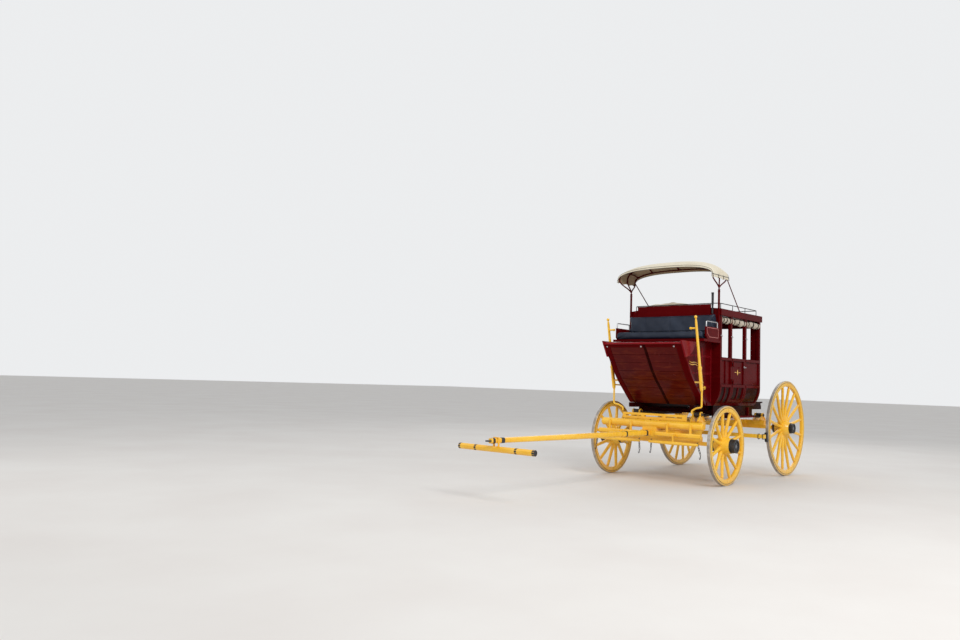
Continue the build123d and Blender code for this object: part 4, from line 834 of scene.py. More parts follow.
def coordinates(mesh):
    """The mesh's points as an array of rows."""
    flat = np.empty(len(mesh.vertices) * 3, dtype=np.float32)
    mesh.vertices.foreach_get("co", flat)
    return flat.reshape(-1, 3).astype(float)


def move_to(mesh, places):
    """The mesh's points put at the given places."""
    mesh.vertices.foreach_set("co", places.astype(np.float32).ravel())
    mesh.update()


def swell(thing, held, low, high, voxel):
    """Inflate a closed pad: voxel remesh, 20 frames of cloth under pressure, moves capped, kept in a box."""
    scene = bpy.context.scene
    finishes = list(thing.data.materials)
    remesh = thing.modifiers.new("voxels", "REMESH")
    remesh.mode = "VOXEL"
    remesh.voxel_size = voxel
    mesh = bpy.data.meshes.new_from_object(thing.evaluated_get(bpy.context.evaluated_depsgraph_get()))
    thing.modifiers.clear()
    thing.data = mesh
    mesh.materials.clear()
    for finish in finishes:
        mesh.materials.append(finish)
    start = coordinates(mesh)
    group = thing.vertex_groups.new(name="held")
    group.add(np.flatnonzero(held(start)).tolist(), 1.0, "REPLACE")
    cloth = thing.modifiers.new("swell", "CLOTH")
    cloth.settings.quality = 5
    cloth.settings.mass = 0.3
    cloth.settings.tension_stiffness = 12.0
    cloth.settings.compression_stiffness = 12.0
    cloth.settings.bending_stiffness = 0.6
    cloth.settings.use_pressure = True
    cloth.settings.uniform_pressure_force = SWELL_PRESSURE
    cloth.settings.effector_weights.gravity = 0.0
    cloth.settings.vertex_group_mass = "held"
    for frame_number in range(1, 21):
        scene.frame_set(frame_number)
    done = thing.evaluated_get(bpy.context.evaluated_depsgraph_get()).to_mesh()
    move = coordinates(done) - start
    thing.modifiers.clear()
    thing.vertex_groups.clear()
    scene.frame_set(1)
    length = np.maximum(np.linalg.norm(move, axis=1), 1e-9)
    final = start + move * np.minimum(1.0, SWELL_MOST / length)[:, None]
    mesh.polygons.foreach_set("use_smooth", np.ones(len(mesh.polygons), dtype=bool))
    move_to(mesh, np.clip(final, low, high))


def pillow(name, node, low, high, face, crown, across, rows, voxel):
    """Closed pad: a superellipse section in (x, z) carried along Y, ends rounded, one face raised in a crown.

    `face` is "top" or "front". After swelling, buttons draw the face in by a bell curve and seams run between.
    """
    low, high = np.asarray(low, float), np.asarray(high, float)
    centre, half = (low + high) / 2, (high - low) / 2
    up_axis, main_axis = (2, 0) if face == "top" else (0, 2)
    span, depth = half[main_axis], half[up_axis]
    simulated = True
    core = half - (0.004 if simulated else 0.0)
    near_end = 0.033 * (1 + np.sin(np.linspace(-math.pi / 2, math.pi / 2, 25)))[:12]
    straight = np.linspace(-core[1] + 0.036, core[1] - 0.036, 151)
    y = np.concatenate([-core[1] + near_end, straight, core[1] - near_end[::-1]])[:, None]
    from_end = core[1] - np.abs(y)
    shrink = (1 - np.clip(1 - from_end / 0.034, 0, 1) ** 2.4) ** (1 / 2.4)
    inner = min(core[0], core[2]) * 0.9 * (1 - shrink)
    unit_x, unit_z = superellipse(np.arange(88) * TAU / 88, 5.0)
    points = np.stack([unit_x * (core[0] - inner), y + 0 * unit_x, unit_z * (core[2] - inner)], -1)

    def raised(value):
        """How much of the face's own shaping a point takes: all on the face and none on the back."""
        return np.clip(value / depth, 0, 1) ** 3

    dome = (1 - (points[..., main_axis] / span) ** 2) * (1 - np.abs(points[..., 1] / half[1]) ** 8)
    points[..., up_axis] += raised(points[..., up_axis]) * (crown * dome - crown)
    thing = Shape().loft(points + centre).piece(name, NAVY, "coach", [node], crease=80.0)
    buttons = [(v * half[1], u * span) for v in across for u in rows]
    if simulated:

        def held(place):
            """Points that stay: the back that rests on its board, and a small patch under each button."""
            local = place - centre
            fixed = local[:, up_axis] < -depth * 0.80
            for v, u in buttons:
                fixed |= (np.hypot(local[:, 1] - v, local[:, main_axis] - u) < 0.009) & (local[:, up_axis] > 0)
            return fixed

        swell(thing, held, low + 0.0005, high + 0.004 * np.eye(3)[up_axis], voxel)
    mesh = thing.data
    place = coordinates(mesh) - centre
    dent = np.zeros(len(place))
    for v, u in buttons:
        dent += 0.013 * np.exp(-((place[:, 1] - v) / 0.030) ** 2 - ((place[:, main_axis] - u) / 0.028) ** 2)
    for v in across:
        dent += 0.0055 * np.exp(-((place[:, 1] - v * half[1]) / 0.0075) ** 2)
    ripple = np.sin(place[:, 1] * 29 + 1.3 * np.sin(place[:, main_axis] * 11))
    puff = 0.0016 * ripple * np.sin(place[:, main_axis] * 23 + 1.2)
    place[:, up_axis] -= raised(place[:, up_axis]) * (dent - puff)
    move_to(mesh, place + centre)
    if simulated:
        fine = thing.modifiers.new("fine", "SUBSURF")
        fine.levels = fine.render_levels = 1

    cord = Shape()
    line_y = np.linspace(-half[1] * 0.955, half[1] * 0.955, 80)
    ease = np.hanning(15) / np.hanning(15).sum()
    for sign in (1, -1):
        line = np.zeros((80, 3))
        line[:, 1] = line_y
        edge = place[(place[:, main_axis] * sign > span * 0.5) & (place[:, up_axis] > depth * 0.45)]
        outward = edge[:, main_axis] * sign + edge[:, up_axis]
        nearest = np.argmin(np.abs(edge[None, :, 1] - line_y[:, None]) * 40 - outward, axis=1)
        for axis in (main_axis, up_axis):
            line[:, axis] = np.convolve(np.pad(edge[nearest, axis], 7, mode="edge"), ease, mode="valid")
        cord.bar(line + centre, 0.0042, sides=8, up=np.eye(3)[up_axis])
    cord.piece(f"{name}_piping", NAVY_DARK)
    if buttons:
        surface = place[place[:, up_axis] > 0]
        studs = Shape()
        for v, u in buttons:
            nearest = np.argmin(np.hypot(surface[:, 1] - v, surface[:, main_axis] - u))
            spot = np.zeros(3)
            spot[1], spot[main_axis], spot[up_axis] = v, u, surface[nearest, up_axis] + 0.001
            studs.heads([spot + centre], 0.0105, 0.0055, np.eye(3)[up_axis])
        studs.piece(f"{name}_buttons", NAVY_DARK)


BENCH_DEPTH = 0.341
bench_low, bench_high = low_of["bench_cushions"], high_of["bench_cushions"]
bench_style = ("top", 0.012, np.linspace(-0.8, 0.8, 5), (-0.3, 0.35), 0.009)
for pad in [
    # piece, node, low corner, high corner, raised face, crown, seams across, rows of buttons, voxel
    ("seat_pad", "seat_cushion", low_of["seat_cushion"], high_of["seat_cushion"], "top", 0.014, (), (), 0.007),
    ("seat_back_pad", "seat_back", low_of["seat_back"], high_of["seat_back"],
     "front", 0.012, np.linspace(-0.86, 0.86, 7)[1::2], (), 0.007),
    ("bench_pad_rear", "bench_cushions",
     bench_low, (bench_low[0] + BENCH_DEPTH, *bench_high[1:]), *bench_style),
    ("bench_pad_front", "bench_cushions",
     (bench_high[0] - BENCH_DEPTH, *bench_low[1:]), bench_high, *bench_style),
]:
    pillow(*pad)


# Curtains: canvas rolled up under the eave in each bay and tied in places
ROLL_Y = high_of["curtains"][1] - 0.056
ROLL_Z = middle_of("curtains")[2] + 0.007
TIES = (0.13, 0.52, 0.88)


def curtain(start, end, side):
    """A roll of cloth: a circle's radius waved by soft folds, pinched at the ties and slack between them."""
    x = np.linspace(start, end, 90)[:, None]
    share = (x - start) / (end - start)
    turn = np.arange(56) * TAU / 56
    gaps = np.min(np.abs(share - np.array(TIES)), axis=1, keepdims=True) * (end - start)
    pinch = 1 - 0.24 * np.exp(-(gaps / 0.020) ** 2) + 0.05 * np.sin(share * 17 + start * 40)
    slack = 0.014 * np.clip(gaps / 0.09, 0, 1) ** 1.5 * (1 + 0.5 * np.sin(start * 70 + share * 6))
    crease = (turn - 4.1 - 0.25 * np.sin(5 * share)) % TAU - 0.3
    folds = (
        0.075 * np.sin(2 * turn + 9 * share + start * 50) + 0.050 * np.sin(5 * turn - 14 * share)
        + 0.022 * np.sin(11 * turn + 23 * share) + 0.05 * np.exp(-(crease / 0.16) ** 2)
    )
    ends = np.clip(np.minimum(share, 1 - share) * (end - start) / 0.012, 0, 1)
    radius = 0.0440 * pinch * (1 + folds) * (0.90 + 0.10 * ends ** 0.5)
    y, z = side * (ROLL_Y + radius * np.cos(turn)), ROLL_Z - slack + radius * np.sin(turn)
    points = np.stack([x + 0 * radius, y, z], -1)
    spiral = [
        # scale of the end's outline, depth
        (0.93, 0.0), (0.86, 0.004), (0.70, 0.004), (0.62, 0.0),
        (0.50, 0.004), (0.36, 0.004), (0.28, 0.0), (0.0, 0.003),
    ]
    closings = []
    for row, push in ((points[:1], 1), (points[-1:], -1)):
        middle = row.mean(axis=1, keepdims=True)
        closings.append([middle + (row - middle) * scale + (push * depth, 0, 0) for scale, depth in spiral])
    return Shape().grid(np.concatenate(closings[0][::-1] + [points] + closings[1]), close_columns=True)


for hand, side in HANDS:
    straps = Shape()
    for number, (rear, front) in enumerate(zip(POSTS[:0:-1], POSTS[-2::-1])):
        start, end = rear + RIB + 0.003, front - RIB - 0.003
        cloth = curtain(start, end, side)
        roll = cloth.piece(f"curtain_{hand}_{number}", BEIGE, "coach", ["curtains"], crease=75.0)
        for tie in TIES:
            x = start + (end - start) * tie
            angle = np.linspace(0, TAU, 40)[:-1]
            y, z = side * (ROLL_Y + 0.0375 * np.cos(angle)), ROLL_Z + 0.0375 * np.sin(angle)
            straps.ring(np.stack([np.full(39, x), y, z], 1), 0.010, 0.0035, power=3.0, sides=10, up=(1, 0, 0))
            corners = [(-0.012, -0.008), (0.012, -0.008), (0.012, 0.008), (-0.012, 0.008), (-0.012, -0.008)]
            buckle = smooth_line([(x + ahead, 0, rise) for ahead, rise in corners], 5)
            wire = swept(buckle, 0.0022, sides=8, up=(0, 1, 0)) + (0, side * (ROLL_Y + 0.0407), ROLL_Z)
            straps.grid(wire, close_columns=True)
    straps.piece(f"curtain_straps_{hand}", STRAP)


# Braces: layered hide slung from jack to jack, with keepers round the layers
BRACE_Y = 0.500
BRACE_RUN_Z = 0.970
JACKS = [
    # pin's x and z, foot's z
    (FRONT_X, 0.9743, 0.8693),
    (REAR_X, 0.947, 0.867),
]


def braces():
    """Four straps one on another along the braces' line, and a loop of hide round each pin."""
    straps, keepers = Shape(), Shape()
    (_, front_z, _), (_, rear_z, _) = JACKS
    line = [
        (FRONT_X + 0.004, front_z - 0.0295), (FRONT_X - 0.06, front_z - 0.0300), (FRONT_X - 0.300, BRACE_RUN_Z),
        (FRONT_X - 0.55, BRACE_RUN_Z), ((FRONT_X + REAR_X) / 2, BRACE_RUN_Z), (REAR_X + 0.900, BRACE_RUN_Z),
        (REAR_X + 0.640, BRACE_RUN_Z), (REAR_X + 0.06, rear_z - 0.0300), (REAR_X - 0.004, rear_z - 0.0295),
    ]
    keeper = [
        (0.0, 0.0155), (-0.0435, 0.0155), (-0.0435, -0.0155),
        (0.0435, -0.0155), (0.0435, 0.0155), (0.0, 0.0155),
    ]
    for side in (1, -1):
        for layer in range(4):
            drop = -0.0070 * (layer - 1.5)
            path = smooth_line([(x, side * BRACE_Y, z + drop) for x, z in line], 8)
            straps.bar(path, 0.0415 - 0.0012 * (layer % 2), 0.0033, power=4.0, sides=14)
        for x, z, _ in JACKS:
            for radius in (0.0225, 0.0293):
                inner, edge, outer = radius + 0.0010, radius + 0.0056, radius + 0.0064
                loop = [
                    (-0.0415, radius), (0.0415, radius), (0.0420, inner), (0.0420, edge), (0.0412, outer),
                    (-0.0412, outer), (-0.0420, edge), (-0.0420, inner),
                ]
                straps.lathe(loop, (x, side * BRACE_Y, z), 1, 40, closed=True)
        for x in (FRONT_X - 0.34, FRONT_X - 1.0, REAR_X + 0.68):
            corners = [(x, side * (BRACE_Y + out), BRACE_RUN_Z + rise) for out, rise in keeper]
            keepers.bar(smooth_line(corners, 4, 0.12), 0.0015, 0.011, power=4.0, sides=10, up=(1, 0, 0))
    straps.piece("brace_straps", STRAP, "coach", ["thoroughbraces"])
    keepers.piece("brace_keepers", BLACK)


braces()


# Driver's seat: pale lining lines on its arms
def seat_lining():
    """A flat painted line round each arm's outer face, its corners rounded."""
    lining = Shape()
    rear, front = FRONT_X - 0.120, FRONT_X + 0.236
    corners = np.array([(rear, 2.092), (front - 0.070, 2.092), (front, 2.160), (front, 2.224), (rear, 2.224)])
    runs = []
    for before, corner, after in zip(np.roll(corners, 1, axis=0), corners, np.roll(corners, -1, axis=0)):
        near, far = corner + unit(before - corner) * 0.022, corner + unit(after - corner) * 0.022
        runs.append(bend(near, corner, far, 9))
    loop = np.concatenate(runs)
    across, out = section(2.5, 8)
    for side in (1, -1):
        y = side * (high_of["seat_frame"][1] + 0.0004)
        path = np.stack([loop[:, 0], np.full(len(loop), y), loop[:, 1]], 1)
        ahead = unit(np.roll(path, -1, axis=0) - np.roll(path, 1, axis=0))
        aside = np.cross(ahead, (0, 1.0, 0))
        flat, proud = (across * 0.004)[:, None], (out * 0.0016)[:, None] * (0, 1.0, 0)
        line = path[:, None] + aside[:, None] * flat + proud
        lining.grid(line, close_rows=True, close_columns=True)
    lining.piece("seat_lining", LINING)


seat_lining()


# Dash: framed boards with a moulded top edge and bolt heads
DASH_TOP = np.array([FRONT_X + 0.755, 1.965])
DASH_KNEE = np.array([FRONT_X + 0.456, 1.524])
DASH_FOOT = np.array([FRONT_X, 1.110])
DASH_HALF = 0.625


def dash_line(start, end, out):
    """Points up the dash's outer face between two shares: straight legs, knee cut across, moved by `out`."""
    foot_knee = DASH_KNEE + unit(DASH_FOOT - DASH_KNEE) * 0.090
    top_knee = DASH_KNEE + unit(DASH_TOP - DASH_KNEE) * 0.090
    corners = np.array([DASH_FOOT, foot_knee, top_knee, DASH_TOP])
    lengths = np.concatenate([[0], np.cumsum(np.linalg.norm(np.diff(corners, axis=0), axis=1))])
    share = np.unique(np.concatenate([np.linspace(start, end, 40), np.clip(lengths / lengths[-1], start, end)]))
    x, z = (np.interp(share * lengths[-1], lengths, corners[:, axis]) for axis in (0, 1))
    ahead = unit(np.gradient(np.stack([x, z], 1), axis=0))
    return x + ahead[:, 1] * out, z - ahead[:, 0] * out


def dash_board(shape, start, end, low_y, high_y, thick, edge=0.0015):
    """A board lying on the dash between two shares of its height and two places across."""
    loops = []
    for y, draw in ((low_y, 1), (low_y + edge, 0), (high_y - edge, 0), (high_y, 1)):
        back, face = (
            np.stack([x, np.full(len(x), y), z], 1)
            for x, z in (dash_line(start, end, -0.0010), dash_line(start, end, thick))
        )
        face = face + (back - face) * (draw * edge / thick)
        loops.append(np.concatenate([face, back[::-1]]))
    shape.loft(np.stack(loops))


def make_dash():
    """Rails, stiles, a middle rib darkened with painted shade and lapped boards between them, a moulded lip and
    three bolts.
    """
    rails, ribs, boards = Shape(), Shape(), Shape()
    dash_board(rails, 0.012, 0.985, -DASH_HALF, -0.545, 0.010)
    dash_board(rails, 0.012, 0.985, 0.530, DASH_HALF, 0.010)
    dash_board(ribs, 0.012, 0.985, 0.012, 0.052, 0.012, 0.004)
    dash_board(rails, 0.955, 0.985, -0.545, 0.012, 0.008)
    dash_board(rails, 0.955, 0.985, 0.052, 0.530, 0.008)
    edges = [0.014, 0.16, 0.31, 0.46, 0.60, 0.725, 0.845, 0.953]
    for number, (start, end) in enumerate(zip(edges[:-1], edges[1:])):
        for low_y, high_y in ((-0.543, 0.010), (0.054, 0.528)):
            dash_board(boards, start + 0.003, end - 0.003, low_y, high_y, 0.0035 + 0.0012 * (number % 2))
    rails.piece("dash_rails", MAROON)
    ribs.piece("dash_rib", SHADED_MAROON)
    boards.piece("dash_boards", DASH_RED)
    top_x, top_z = dash_line(0.0, 1.0, -0.015)
    lip = [(top_x[-1] + 0.004, y, top_z[-1] + 0.001) for y in np.linspace(-DASH_HALF, DASH_HALF, 12)]
    Shape().bar(lip, 0.024, 0.011, power=2.4, sides=20, up=(0.56, 0, 0.83)).piece("dash_lip", RED)
    bolt_x, bolt_z = dash_line(0.962, 0.978, 0.0085)
    bolts = [(bolt_x[4], y, bolt_z[4]) for y in (-0.59, -0.02, 0.50)]
    Shape().heads(bolts, 0.013, 0.009, (0.83, 0, -0.56), 16).piece("dash_bolts", STEEL)


make_dash()


# Boot sides: beaded frames and a short gilt line
BOOT_HALF = DASH_HALF


def boot_trim():
    """Beads on each side of the boot, between the cabin and the dash's sloping edge."""
    beads, gilt = Shape(), Shape()
    rear, y = CABIN_FRONT + 0.050, BOOT_HALF + 0.0005
    for z in (1.385, 1.568, 1.818):
        front = FRONT_X + float(np.interp(z, [1.110, 1.524, 1.965], [0.02, 0.40, 0.70]))
        for lift in (-0.008, 0.008):
            beads.bar([(rear, y, z + lift), (front, y, z + lift)], 0.0055, sides=8)
    for x, low in ((FRONT_X + 0.125, 1.25), (FRONT_X + 0.141, 1.27), (rear, 1.16)):
        beads.bar([(x, y, low), (x, y, 1.940)], 0.0055, sides=8, up=(0, 1, 0))
    slope = [(0.05, 1.150), (0.395, 1.462), (0.455, 1.545), (0.690, 1.890)]
    line = smooth_line([(FRONT_X + ahead, y, z) for ahead, z in slope], 8, 0.4)
    beads.bar(line, 0.0045, sides=8, up=(0, 1, 0))
    share = np.linspace(0, 1, 24)
    for low, width in ((1.672, 0.0060), (1.702, 0.0045)):
        path = np.array([FRONT_X + 0.262, BOOT_HALF + 0.0008, low]) + share[:, None] * (0.270, 0, 0.034)
        path[:, 2] += 0.010 * np.sin(share * TAU)
        gilt.bar(path, width * (0.25 + np.sin(share * math.pi)), 0.0012, sides=8, up=(0, 1, 0))
    beads.mirrored().piece("boot_beads", RED)
    gilt.mirrored().piece("boot_gilt", GILT)


boot_trim()


# Round irons drawn from bent bar: grab rails, roof rail and whip socket
def grab_rails():
    """A hoop of bent bar over each arm of the seat."""
    rails = Shape()
    rear, front, foot_z, top_z = FRONT_X - 0.111, FRONT_X + 0.238, 2.2405, 2.316
    for side in (1, -1):
        y = side * POST_Y
        hoop = [(rear, y, foot_z), (rear, y, top_z), (front, y, top_z), (front, y, foot_z)]
        rails.bar(smooth_line(hoop, 10, 0.16), 0.0085, sides=12, up=(0, 1, 0))
        rails.heads([(x, y, foot_z) for x in (rear, front)], 0.0125, 0.010, (0, 0, 1), 14)
    rails.piece("grab_rails", STEEL, "coach", ["seat_irons"])


def roof_rail():
    """A closed rail on posts round the roof."""
    rack = Shape()
    rear, foot = low_of["roof_rack"][0] + 0.007, low_of["roof_rack"][2] - 0.001
    front, half, top = high_of["roof_rack"] - 0.007
    corners = [(rear, 0), (rear, half), (front, half), (front, -half), (rear, -half), (rear, 0)]
    loop = smooth_line([(x, y, top) for x, y in corners], 10, 0.06)[:-1]
    rack.grid(swept(loop, 0.0065, sides=10)[:, ::-1], close_rows=True, close_columns=True)
    for side in (1, -1):
        for share in (0.03, 0.34, 0.67, 0.97):
            x, y = rear + (front - rear) * share, side * half
            post = between((x, y, foot), (x, y, top), 3)
            rack.bar(post, [0.0062, 0.0052, 0.0052], sides=10, up=(0, 1, 0))
            rack.heads([post[0]], 0.014, 0.007, (0, 0, 1), 14)
    rack.piece("roof_rail", BLACK, "coach", ["roof_rack"])


def whip_socket():
    """A slim tapered cup beside the seat."""
    tube = [
        (0.0, 0.0), (0.0, 0.0125), (0.006, 0.0135), (0.115, 0.0125), (0.125, 0.0150), (0.150, 0.0165),
        (0.240, 0.0175), (0.290, 0.0180), (0.300, 0.0200), (0.312, 0.0200), (0.316, 0.0180), (0.316, 0.0130),
        (0.285, 0.0120), (0.285, 0.0),
    ]
    Shape().lathe(tube, (FRONT_X - 0.156, 0.640, 2.4555), 1, 28, axis=2).piece("whip_socket", BLACK)


grab_rails()
roof_rail()
whip_socket()


# The roof's crown, and folded canvas kept on it behind the seat's header
ROOF_EDGE_Z = 2.529
ROOF_CROWN = 0.045
ROOF_HALF = high_of["roof"][1]


def roof_z(y):
    """Height of the crowned roof across the coach: its edge plus the crown times (1 - (y / half)^2)."""
    return ROOF_EDGE_Z + ROOF_CROWN * (1 - (np.asarray(y) / ROOF_HALF) ** 2)


def folded_canvas():
    """A slack roll on the crowned roof: a flattened circle whose radius is waved along and round it."""
    y = np.linspace(-0.52, 0.16, 120)[:, None]
    share = (y - y[0]) / (y[-1] - y[0])
    turn = np.arange(48) * TAU / 48
    ends = np.sqrt(np.clip(1 - np.abs(2 * share - 1) ** 5, 0, 1))
    fullness = ends * (0.86 + 0.10 * np.sin(share * 13) + 0.06 * np.sin(share * 31 + 1))
    radius = fullness * (1 + 0.10 * np.sin(2 * turn + 9 * share) + 0.06 * np.sin(5 * turn - 17 * share))
    rest_z = roof_z(y) + 0.001
    x = FRONT_X - 0.335 + 0.012 * np.sin(share * 7) + radius * 0.085 * np.cos(turn)
    z = np.maximum(rest_z + 0.047 + radius * 0.046 * np.sin(turn), rest_z + 0.0015)
    roll = Shape().loft(np.stack([x, y + 0 * x, z], -1)).piece("folded_canvas", CREAM, crease=70.0)


folded_canvas()


# Brake levers: flat yellow blades with a forged clip, grip, pin and cranked rod
LEVER_FOOT = np.array([FRONT_X + 0.320, 1.310])
LEVER_TOP = np.array([FRONT_X + 0.530, 2.350])
LEVER_Y = 0.720


def lever_at(share):
    """The point a share of the way up the left lever."""
    x, z = LEVER_FOOT + (LEVER_TOP - LEVER_FOOT) * share
    return np.array([x, LEVER_Y, z])


def levers():
    """Each blade is a superellipse section swept up its line, thick below the clip and slim above."""
    blades, grips, pins = Shape(), Shape(), Shape()
    stations = np.array([
        # share, half width, half thickness
        (0.0, 0.016, 0.0105), (0.018, 0.027, 0.0145), (0.04, 0.0310, 0.0155), (0.30, 0.0310, 0.0155),
        (0.301, 0.0350, 0.0185), (0.331, 0.0350, 0.0185), (0.333, 0.0265, 0.0125), (0.60, 0.0240, 0.0120),
        (0.93, 0.0190, 0.0115), (0.955, 0.015, 0.0105), (0.968, 0.0105, 0.0095),
    ])
    path = [lever_at(share) for share in stations[:, 0]]
    blades.bar(path, stations[:, 1], stations[:, 2], power=5.0, sides=24, up=(0, 1, 0))
    neck = [lever_at(share) for share in (0.95, 0.975, 0.995)]
    blades.bar(neck, [0.0110, 0.0105, 0.0110], up=(0, 1, 0))
    angle = np.linspace(-math.pi / 2, math.pi / 2, 17)
    ball = np.stack([np.sin(angle) * 0.0215, np.cos(angle) * 0.0215], 1)
    blades.lathe(ball, lever_at(1.0), 1, 28, axis=2)
    grip = [
        (0.0, 0.0), (0.0, 0.017), (0.010, 0.019), (0.014, 0.0125), (0.060, 0.0130), (0.078, 0.0135),
        (0.081, 0.0175), (0.101, 0.0175), (0.104, 0.0150), (0.104, 0.0),
    ]
    grips.lathe(grip, lever_at(0.85) + (0, 0.002, 0), -1, 24)
    inside = LEVER_Y - BOOT_HALF
    pin = [
        (-0.027, 0.0), (-0.027, 0.012), (-0.023, 0.0155), (-0.015, 0.0155), (-0.015, 0.0135), (inside, 0.0135),
        (inside, 0.0),
    ]
    pins.lathe(pin, lever_at(0.125), -1, 24)
    ring = [(-0.0215, 0.0), (-0.0215, 0.008), (-0.0180, 0.011), (0.0180, 0.011), (0.0215, 0.008), (0.0215, 0.0)]
    for share in (0.316, 0.28):
        pins.lathe(ring, lever_at(share), 1, 16)
    stay = lever_at(0.06)
    stay_end = np.array([stay[0] - 0.280, BOOT_HALF + 0.012, stay[2] - 0.010])
    bent = smooth_line([stay, stay + (-0.05, -0.003, -0.001), stay_end + (0.06, 0.010, 0), stay_end], 8)
    blades.bar(bent, 0.0105, sides=14)
    pad = [
        (0.0, 0.0), (0.0, 0.024), (0.004, 0.026), (0.009, 0.024), (0.012, 0.014), (0.016, 0.012), (0.016, 0.0)
    ]
    blades.lathe(pad, (stay_end[0], BOOT_HALF + 0.0005, stay_end[2]), 1, 24)
    foot_x = LEVER_FOOT[0]
    crank = [
        (foot_x, LEVER_Y, 1.330), (foot_x, LEVER_Y, 1.200), (foot_x, LEVER_Y, 1.089),
        (foot_x - 0.004, LEVER_Y - 0.090, 1.071), (foot_x - 0.010, 0.565, 1.033),
        (foot_x - 0.010, 0.565, 0.986),
    ]
    rod = smooth_line(crank, 10, 0.22)
    thick = np.interp(np.linspace(0, 1, len(rod)), [0, 0.1, 1], [0.0125, 0.0130, 0.0125])
    blades.bar(rod, thick, up=(1, 0.02, 0.03))
    blades.mirrored().piece("lever_blades", YELLOW, "coach", ["brake_levers"])
    grips.mirrored().piece("lever_grips", YELLOW)
    pins.mirrored().piece("lever_pins", PALE_YELLOW)


levers()


# Pole in shaved timber, and the iron bands round the pole and the lead bar
def draught_timber():
    """A squarish section swept along the tapering pole, and bands that stand 1.5 mm proud of it."""
    pole_z = middle_of("pole")[2]
    rear, front = low_of["pole"][0], high_of["pole"][0]
    jaw_x = high_of["futchells"][0]
    stations = np.array([
        # x, half size
        (rear + 0.001, 0.036), (rear + 0.006, 0.0408), (jaw_x + 0.010, 0.0408), (jaw_x + 0.060, 0.0405),
        (jaw_x + 0.9, 0.0385), (front - 0.8, 0.0325), (front - 0.03, 0.0300),
        (front - 0.006, 0.0290), (front, 0.0240),
    ])
    timber = Shape().bar([(x, 0, pole_z) for x in stations[:, 0]], stations[:, 1], power=3.0, sides=32)
    timber.piece("pole_timber", YELLOW, "front_carriage", ["pole"])
    bands = Shape()
    for x, half, wide in [
        (jaw_x + 0.075, 0.0410, 0.022), (jaw_x + 0.62, 0.0400, 0.016), (front - 0.20, 0.0310, 0.030),
        (front - 0.045, 0.0305, 0.020),
    ]:
        path = [(x + ahead, 0, pole_z) for ahead in (-wide, 0.002 - wide, wide - 0.002, wide)]
        bands.bar(path, [half - 0.001, half + 0.0015, half + 0.0015, half - 0.001], power=3.0, sides=32)
    lead_x, lead_z = middle_of("lead_bar")[0], low_of["lead_bar"][2] + 0.033
    for y in (-0.545, -0.30, 0.30, 0.545):
        path = [(lead_x, y + aside, lead_z) for aside in (-0.016, -0.014, 0.014, 0.016)]
        bands.bar(path, [0.0325, 0.0350, 0.0350, 0.0325], sides=32)
    bands.piece("timber_bands", BLACK, "front_carriage")


draught_timber()


# Chains with hooks that hang from the draught bars
def link_points(centre, along, turn):
    """A long link: a closed superellipse path in a plane set by its direction and turn, in round bar."""
    along = unit(along)
    other = unit(np.cross(along, (0.3, 1.0, 0.2)))
    aside = other * math.cos(turn) + np.cross(along, other) * math.sin(turn)
    run, across = superellipse(np.arange(20) * TAU / 20, 2.5)
    path = centre + run[:, None] * 0.026 * along + across[:, None] * 0.011 * aside
    normal = np.cross(along, aside)
    out = np.cross(unit(np.roll(path, -1, axis=0) - np.roll(path, 1, axis=0)), normal)
    ring = np.arange(8)[:, None] * TAU / 8
    return path[:, None] + 0.0034 * (out[:, None] * np.cos(ring) + normal * np.sin(ring))


def chains():
    """Links strung along a straight run, each a quarter turn from the last, with a hook at the end."""
    shape = Shape()
    tree = middle_of("swingletrees")
    for y, run, drop in [
        # place across, run along x, drop
        (0.805, -0.10, 0.17), (0.100, 0.015, 0.13), (-0.100, -0.015, 0.15), (-0.805, 0.04, 0.15),
    ]:
        start = np.array([tree[0] - 0.006, y, tree[2] - 0.022])
        along = np.array([run, 0, -drop])
        count = int(drop / 0.036) + 1
        for number in range(count):
            link = link_points(start + along * (number + 0.5) / count, along, number * math.pi / 2)
            shape.grid(link, close_rows=True, close_columns=True)
        end = start + along + (0, 0, -0.004)
        bends = [(0, 0), (0, -0.030), (0.016, -0.056), (0.036, -0.044), (0.034, -0.020)]
        hook = smooth_line([end + (ahead, 0, rise) for ahead, rise in bends], 8)
        shape.bar(hook, np.linspace(0.0055, 0.0030, len(hook)), sides=10, up=(0, 1, 0))
    shape.piece("draught_chains", BLACK, "front_carriage")


chains()


# Rear of the coach: beaded wall and a boarded platform
def rear_beads():
    """Round beads along panels of the rear wall."""
    beads = Shape()
    upper = [(0.030, MID_Z + 0.030), (0.660, MID_Z + 0.030), (0.660, SILL_Z - 0.030), (0.030, SILL_Z - 0.030)]
    lower = [
        (-0.560, RAIL_Z + 0.060), (0.560, RAIL_Z + 0.060), (0.600, MID_Z - 0.100), (0.620, MID_Z - 0.030),
        (-0.620, MID_Z - 0.030), (-0.600, MID_Z - 0.100),
    ]
    for corners in (upper, [(-y, z) for y, z in upper], lower):
        path = [(low_of["cabin_rear_wall"][0] - 0.0005, y, z) for y, z in corners + corners[:1]]
        beads.bar(path, 0.0050, sides=8, up=(1, 0, 0.01))
    beads.piece("rear_beads", RED)


